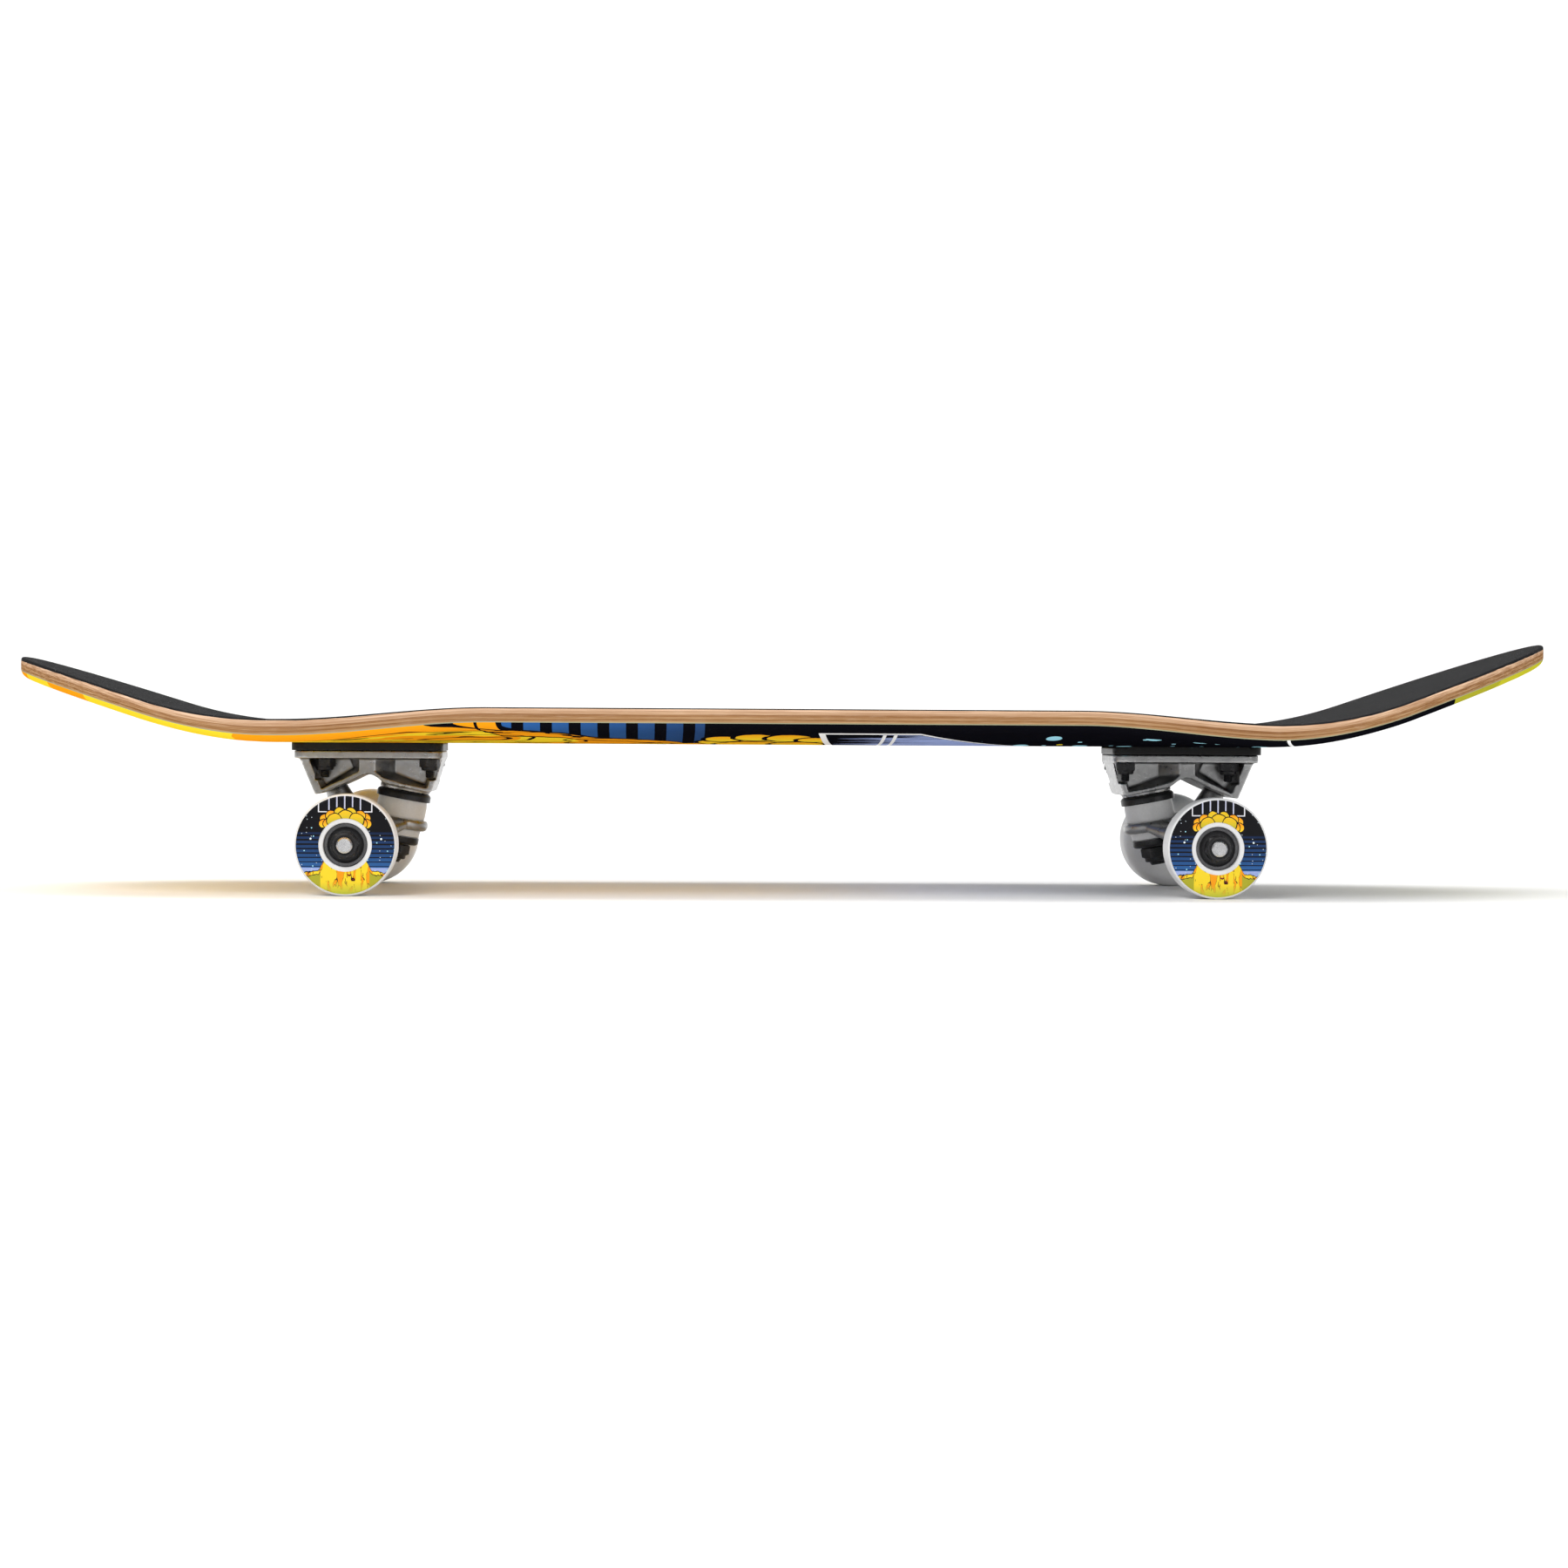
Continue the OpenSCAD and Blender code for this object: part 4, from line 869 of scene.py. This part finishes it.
def nut(name, flats, height, bore, place, segments=72, low_collar=0.72):
    """A lock nut: a chamfered hexagon, a round collar and the ring of nylon inside it."""
    corner = flats / 2 / math.cos(math.pi / 6)
    hex_h = height * low_collar
    collar = flats / 2 - 0.35
    profile = [
        (bore, 0.3), (bore + 0.4, 0), (flats / 2 * 0.94, 0), (corner, flats * 0.055),
        (corner, hex_h - flats * 0.05),
        (flats / 2 * 0.985, hex_h), (collar, hex_h + 0.1), (collar, height - 0.8),
        (collar - 0.25, height - 0.25),
        (collar - 0.9, height), (bore + 0.9, height), (bore + 0.7, height - 0.5), (bore, height - 0.6)
    ]
    return lathe(name, profile, place, segments, hexagon(flats), sharp=math.radians(28))


def build_bolts():
    head_top = DECK_TOP + GRIP_T - 0.2
    end = head_top - BOLT_LEN
    parts = []
    for x, y in bolt_places():
        profile = [(0, end), (1.7, end)] + thread_profile(2.36, end + 0.5, end + 12, 0.11)
        profile += [(2.36, head_top - 2.7), (4.5, head_top - 0.45), (4.6, head_top - 0.2),
            (4.45, head_top), (0, head_top)]
        parts.append(lathe("bolt", profile, Matrix.Translation((x, y, 0)), 32,
            thread=(end + 0.4, end + 11.5, 0.79, 0.33)))
    bolts = join("bolt_set", parts)
    slots = []
    for i, (x, y) in enumerate(bolt_places()):
        for quarter in (0, 1):
            spin = Matrix.Rotation(math.radians(17 * i + 90 * quarter), 4, "Z")
            turn = Matrix.Translation((x, y, head_top)) @ spin
            top, low, deep = (2.7, 0.62), (1.5, 0.45), -1.6
            pts = [(sx * hx, sy * hy, z) for z, (hx, hy) in ((1.0, top), (deep, low))
                   for sx, sy in ((-1, -1), (1, -1), (1, 1), (-1, 1))]
            faces = [(0, 1, 2, 3), (7, 6, 5, 4), (0, 4, 5, 1), (1, 5, 6, 2), (2, 6, 7, 3), (3, 7, 4, 0)]
            slots.append((quarter, make("slot", pts, faces, turn)))
    for quarter in (0, 1):
        cut(bolts, [s for q, s in slots if q == quarter])
    smooth(bolts, math.radians(35))
    dress(bolts, "board", OXIDE, "hardware_black", "mounting_bolts")

    nuts = join("nut_set", [
        nut("nut", 9.5, 6.2, 2.45, Matrix.Translation((x, y, FLANGE_UNDER)) @ Matrix.Rotation(math.pi, 4, "X")
            @ Matrix.Rotation(math.radians(23 * i), 4, "Z"), 48)
        for i, (x, y) in enumerate(bolt_places())
    ])
    smooth(nuts, math.radians(28))
    dress(nuts, "board", OXIDE, "hardware_black", "mounting_nuts")


# --- Castings -------------------------------------------------------------------------------------

def soften(node, name, voxel, rounds, ratio):
    """A copy of a CAD casting with its corners rounded as a mould and tumbling leave them."""
    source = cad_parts[node]
    obj = bpy.data.objects.new(name, source.data.copy())
    scene.collection.objects.link(obj)
    remesh = obj.modifiers.new("remesh", "REMESH")
    remesh.mode = "VOXEL"
    remesh.voxel_size = voxel * MM
    relax = obj.modifiers.new("relax", "SMOOTH")
    relax.factor = 0.5
    relax.iterations = rounds
    thin = obj.modifiers.new("thin", "DECIMATE")
    thin.ratio = ratio
    apply_modifiers(obj)
    smooth(obj, math.radians(75))
    return obj


def build_castings(truck):
    base = soften(f"{truck}_baseplate", f"{truck}_base_casting", 0.5, 5, 0.35)
    dress(base, "board", CASTING, "cast_aluminium", f"{truck}_baseplate")
    hanger = soften(f"{truck}_hanger", f"{truck}_hanger_casting", 0.6, 8, 0.4)
    dress(hanger, f"{truck}_hanger", CASTING, "cast_aluminium", f"{truck}_hanger")
    riser = soften(f"{truck}_riser_pad", f"{truck}_riser", 0.5, 2, 0.2)
    dress(riser, "board", RISER_PLASTIC, "riser_black", f"{truck}_riser_pad")
    cup = soften(f"{truck}_pivot_cup", f"{truck}_cup", 0.4, 1, 0.5)
    dress(cup, "board", CUP_RUBBER, "cup_black", f"{truck}_pivot_cup")


# --- Kingpin, washers and bushings ----------------------------------------------------------------

def washer_profile(rim, face, height, bore):
    """A dished washer whose rim turns over the bushing's edge."""
    return [
        (bore, height - 2.0), (rim - 1.6, height - 2.0), (rim - 1.2, height - 2.4), (rim - 1.15, 0.15),
        (rim - 0.95, 0),
        (rim - 0.2, 0), (rim, 0.2), (rim, height - 1.7), (rim - 0.1, height - 1.2),
        (rim - 0.45, height - 0.7),
        (rim - 0.95, height - 0.25), (face, height), (bore + 0.2, height), (bore, height - 0.2)
    ]


def barrel(outline):
    """Adds short steps to an outline of (radius, z)."""
    dense = []
    for (r0, z0), (r1, z1) in zip(outline, outline[1:] + outline[:1]):
        count = max(1, int(math.hypot(r1 - r0, z1 - z0) / 0.8))
        dense += [(r0 + (r1 - r0) * i / count, z0 + (z1 - z0) * i / count) for i in range(count)]
    return dense


def build_kingpin(truck):
    place = on_kingpin(truck)
    end, head = -21.0, 29.4
    profile = [(0, end), (3.9, end)] + thread_profile(4.72, end + 0.9, end + 13, 0.13)
    profile += [(4.72, head + 0.5), (4.72, head + 0.6), (0, head + 0.6)]
    shank = lathe("shank", profile, place, 48, thread=(end + 0.7, end + 12.4, 1.06, 0.45))
    cap = lathe("cap", [(0, head), (6.9, head), (8.25, head + 0.8), (8.25, head + 4.8), (7.0, head + 5.6),
        (0, head + 5.6)],
                place, 72, hexagon(14.3))
    pin = join(f"{truck}_king_bolt", [shank, cap])
    smooth(pin, math.radians(35))
    dress(pin, "board", OXIDE, "hardware_black", f"{truck}_kingpin")
    down = place @ Matrix.Translation((0, 0, -11.2)) @ Matrix.Rotation(math.pi, 4, "X")
    dress(nut(f"{truck}_king_nut", 14.3, 8.0, 4.8, down), "board", OXIDE, "hardware_black",
        f"{truck}_kingpin_nut")

    top = lathe(f"{truck}_cup_washer", washer_profile(TOP_WASHER_R, 12.4, 4.3, BUSHING_BORE_R),
        place @ Matrix.Translation((0, 0, TOP_WASHER_W)))
    dress(top, "board", WASHER_BLACK, "hardware_black", f"{truck}_top_washer")
    under = place @ Matrix.Translation((0, 0, LOW_WASHER_W)) @ Matrix.Rotation(math.pi, 4, "X")
    low = lathe(f"{truck}_low_washer", washer_profile(LOW_WASHER_R, 10.2, 4.0, BUSHING_BORE_R), under)
    dress(low, "board", WASHER_BLACK, "hardware_black", f"{truck}_bottom_washer")

    upper = [(BUSHING_BORE_R, 0.3), (7.0, 0.3), (7.0, 1.6), (11.9, 1.6), (12.55, 2.1), (12.85, 3.4),
             (12.9, 5.6),
        (12.9, 9.5),
             (12.65, 11.8), (12.65, 13.8), (12.1, 14.4), (BUSHING_BORE_R, 14.4)]
    lower = [(BUSHING_BORE_R, -0.3), (7.0, -0.3), (7.0, -2.2), (11.8, -2.2), (12.0, -3.2), (11.85, -5.0),
             (11.6, -6.6),
             (10.5, -7.05), (10.4, -9.2), (BUSHING_BORE_R, -9.2)]
    for name, outline, start, end in (("boardside", upper, 12.0, 2.0), ("roadside", lower, -7.2, -2.4)):
        ring = lathe(f"{truck}_{name}_barrel", barrel(outline), place, 80, sharp=math.radians(50))
        ring.data.materials.append(BUSHING)
        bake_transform(ring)
        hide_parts(f"{truck}_{name}_bushing")


# --- Axle parts -----------------------------------------------------------------------------------

def build_axle(truck):
    body = f"{truck}_hanger"
    place = on_axle(truck, "far")
    reach = AXLE_END
    rings = thread_profile(3.98, reach - 9, reach - 0.7, 0.12)
    profile = [(0, -reach), (1.2, -reach + 0.02), (3.3, -reach)]
    profile += [(r, -z) for r, z in reversed(rings)] + [(3.99, 0)] + rings + [(3.3, reach),
        (1.2, reach - 0.02), (0, reach)]
    axle = lathe(f"{truck}_axle_rod", profile, place, 48, thread=None)
    dress(axle, body, AXLE_STEEL, "axle_steel", f"{truck}_axle")
    nuts, washers = [], []
    for side in SIDES:
        out = on_axle(truck, side)
        spun = out @ Matrix.Translation((0, 0, 85.8)) @ Matrix.Rotation(math.radians(11), 4, "Z")
        nuts.append(nut("nut", 12.7, 6.5, 4.05, spun))
        for z in (60.2, 85.0):
            ring = [(4.05, 0), (5.7, 0), (5.9, 0.15), (5.9, 0.65), (5.7, 0.8), (4.05, 0.8)]
            washers.append(lathe("washer", ring, out @ Matrix.Translation((0, 0, z)), 48))
    both = join(f"{truck}_axle_nut_pair", nuts)
    smooth(both, math.radians(28))
    dress(both, body, OXIDE, "hardware_black", f"{truck}_axle_nuts")
    rings = join(f"{truck}_washer_set", washers)
    smooth(rings, math.radians(40))
    dress(rings, body, AXLE_STEEL, "axle_steel", f"{truck}_speed_washers")


# --- Wheels and bearings --------------------------------------------------------------------------

def wheel_profile():
    """Bearing seats, a long round inner shoulder, a flat tread and a small outer lip.

    Points are (radius, z), with z from the hub's inner face.
    """
    width = WHEEL_OUT - WHEEL_IN
    seat, seat_l, step, lip = 11.0, 10.0, 9.4, 2.2
    tread_start = width - lip - 13
    profile = [(step, seat_l), (seat, seat_l), (seat, 0.6), (seat + 0.6, 0.05)]
    profile += arc(14.2, tread_start, WHEEL_R - 14.2, tread_start, -82, 0, 36)
    profile += arc(WHEEL_R - lip, width - lip, lip, lip, 0, 90, 14)
    profile += [(20, width), (16, width), (13.6, width), (13.35, width - 0.1), (13.2, width - 0.5),
        (11.6, width - 0.55)]
    profile += [(11.15, width - 0.75), (seat, width - 1.2), (seat, width - seat_l), (step, width - seat_l)]
    return profile


def build_wheel(truck, side):
    body = f"{truck}_{side}_wheel"
    out = on_axle(truck, side)
    wheel = lathe(f"{truck}_{side}_urethane", wheel_profile(), out @ Matrix.Translation((0, 0, WHEEL_IN)),
        160)
    co = np.empty(len(wheel.data.vertices) * 3)
    wheel.data.vertices.foreach_get("co", co)
    co = co.reshape(-1, 3) / MM
    across = (co[:, 0] - AXLE_X[truck]) * (1 if side == "near" else -1)
    place = np.stack([across, co[:, 2] - AXLE_Z, np.abs(co[:, 1]) - WHEEL_OUT], -1)
    layer = wheel.data.attributes.new("print_place", "FLOAT_VECTOR", "POINT")
    layer.data.foreach_set("vector", place.astype(np.float32).ravel())
    dress(wheel, body, WHEEL, "wheel_white", f"{truck}_{side}_wheel")

    races, shields = [], []
    for y in BEARING_Y:
        mid = out @ Matrix.Translation((0, 0, y))
        race = [(9.0, -3.5), (10.6, -3.5), (11.0, -3.1), (11.0, 3.1), (10.6, 3.5), (9.2, 3.5), (9.0, 3.3),
            (9.0, 2.2)]
        race += arc(7.5, 0, 2.05, 2.05, 42, -42, 8) + [(9.0, -2.2)]
        races.append(lathe("race", race, mid, 96))
        for face in (-1, 1):
            flip = mid @ Matrix.Rotation(0 if face > 0 else math.pi, 4,
                "X") @ Matrix.Translation((0, 0, 2.85))
            dish = [(6.35, 0.05), (9.0, 0.0), (9.0, 0.3), (8.75, 0.42), (8.5, 0.3), (8.2, 0.12),
                (7.0, 0.12), (6.75, 0.32), (6.35, 0.34)]
            shields.append(lathe("shield", dish, flip, 96))
    outer = join(f"{truck}_{side}_race_pair", races)
    smooth(outer, math.radians(40))
    dress(outer, body, BEARING_STEEL, "bearing_steel", f"{truck}_{side}_outer_races")
    seals = join(f"{truck}_{side}_seals", shields)
    smooth(seals, math.radians(40))
    dress(seals, body, SHIELD, "shield_black", f"{truck}_{side}_shields")


def paint_hidden_nodes():
    """The CAD nodes that stay as they are, inside the bearings and the wheels."""
    finishes = {"balls": BEARING_STEEL, "cages": CAGE, "inner_races": BEARING_STEEL,
        "bearing_spacers": AXLE_STEEL}
    for name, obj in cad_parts.items():
        for ending, material in finishes.items():
            if name.endswith(ending):
                obj.data.materials.clear()
                obj.data.materials.append(material)


# --- Stage ----------------------------------------------------------------------------------------

def build_stage():
    """A pale floor that curves up into a wall, with soft light from above and both sides."""
    radius, back, height, half = 900.0, 2200.0, 3000.0, 5000.0
    path = [(-4000.0, 0.0), (back - radius, 0.0)]
    path += [(back - radius + radius * math.sin(t),
        radius - radius * math.cos(t)) for t in np.linspace(0.05, math.pi / 2, 24)]
    path += [(back, height)]
    points = [(sx * half, y, z) for y, z in path for sx in (-1, 1)]
    faces = [(2 * i, 2 * i + 1, 2 * i + 3, 2 * i + 2) for i in range(len(path) - 1)]
    floor = make("floor", points, faces)
    g = Graph("pale_floor")
    x, y, z = g.mm()
    g.set(Base_Color=g.ramp(g.noise(g.vector(x, y, z), 0.004, 2),
        [(0.3, (0.90, 0.90, 0.90)), (0.7, (0.92, 0.92, 0.92))]), Roughness=0.7)
    floor.data.materials.append(g.material)

    world = scene.world or bpy.data.worlds.new("world")
    scene.world = world
    world.use_nodes = True
    world.node_tree.nodes["Background"].inputs[0].default_value = (1, 1, 1, 1)
    world.node_tree.nodes["Background"].inputs[1].default_value = 0.40
    lights = (
        ("key", (-900, -1300, 1500), (0, 0, 60), 1.3, 1.3, 25),
        ("fill", (1300, -1500, 800), (0, 0, 60), 1.0, 1.2, 9),
        ("top", (0, 100, 1700), (0, 0, 60), 2.2, 1.0, 17),
        ("wall", (0, 300, 1500), (0, 2100, 700), 3.0, 1.0, 27),
    )
    for name, place, target, width, depth, power in lights:
        data = bpy.data.lights.new(name, "AREA")
        data.shape = "RECTANGLE"
        data.size, data.size_y, data.energy = width, depth, power
        lamp = bpy.data.objects.new(name, data)
        scene.collection.objects.link(lamp)
        spot, goal = Vector(place) * MM, Vector(target) * MM
        lamp.matrix_world = Matrix.Translation(spot) @ (goal - spot).to_track_quat("-Z",
            "Y").to_matrix().to_4x4()


# --- Build ----------------------------------------------------------------------------------------

build_deck()
build_grip()
build_bolts()
for truck in TRUCKS:
    build_castings(truck)
    build_kingpin(truck)
    build_axle(truck)
    for side in SIDES:
        build_wheel(truck, side)
paint_hidden_nodes()
build_stage()
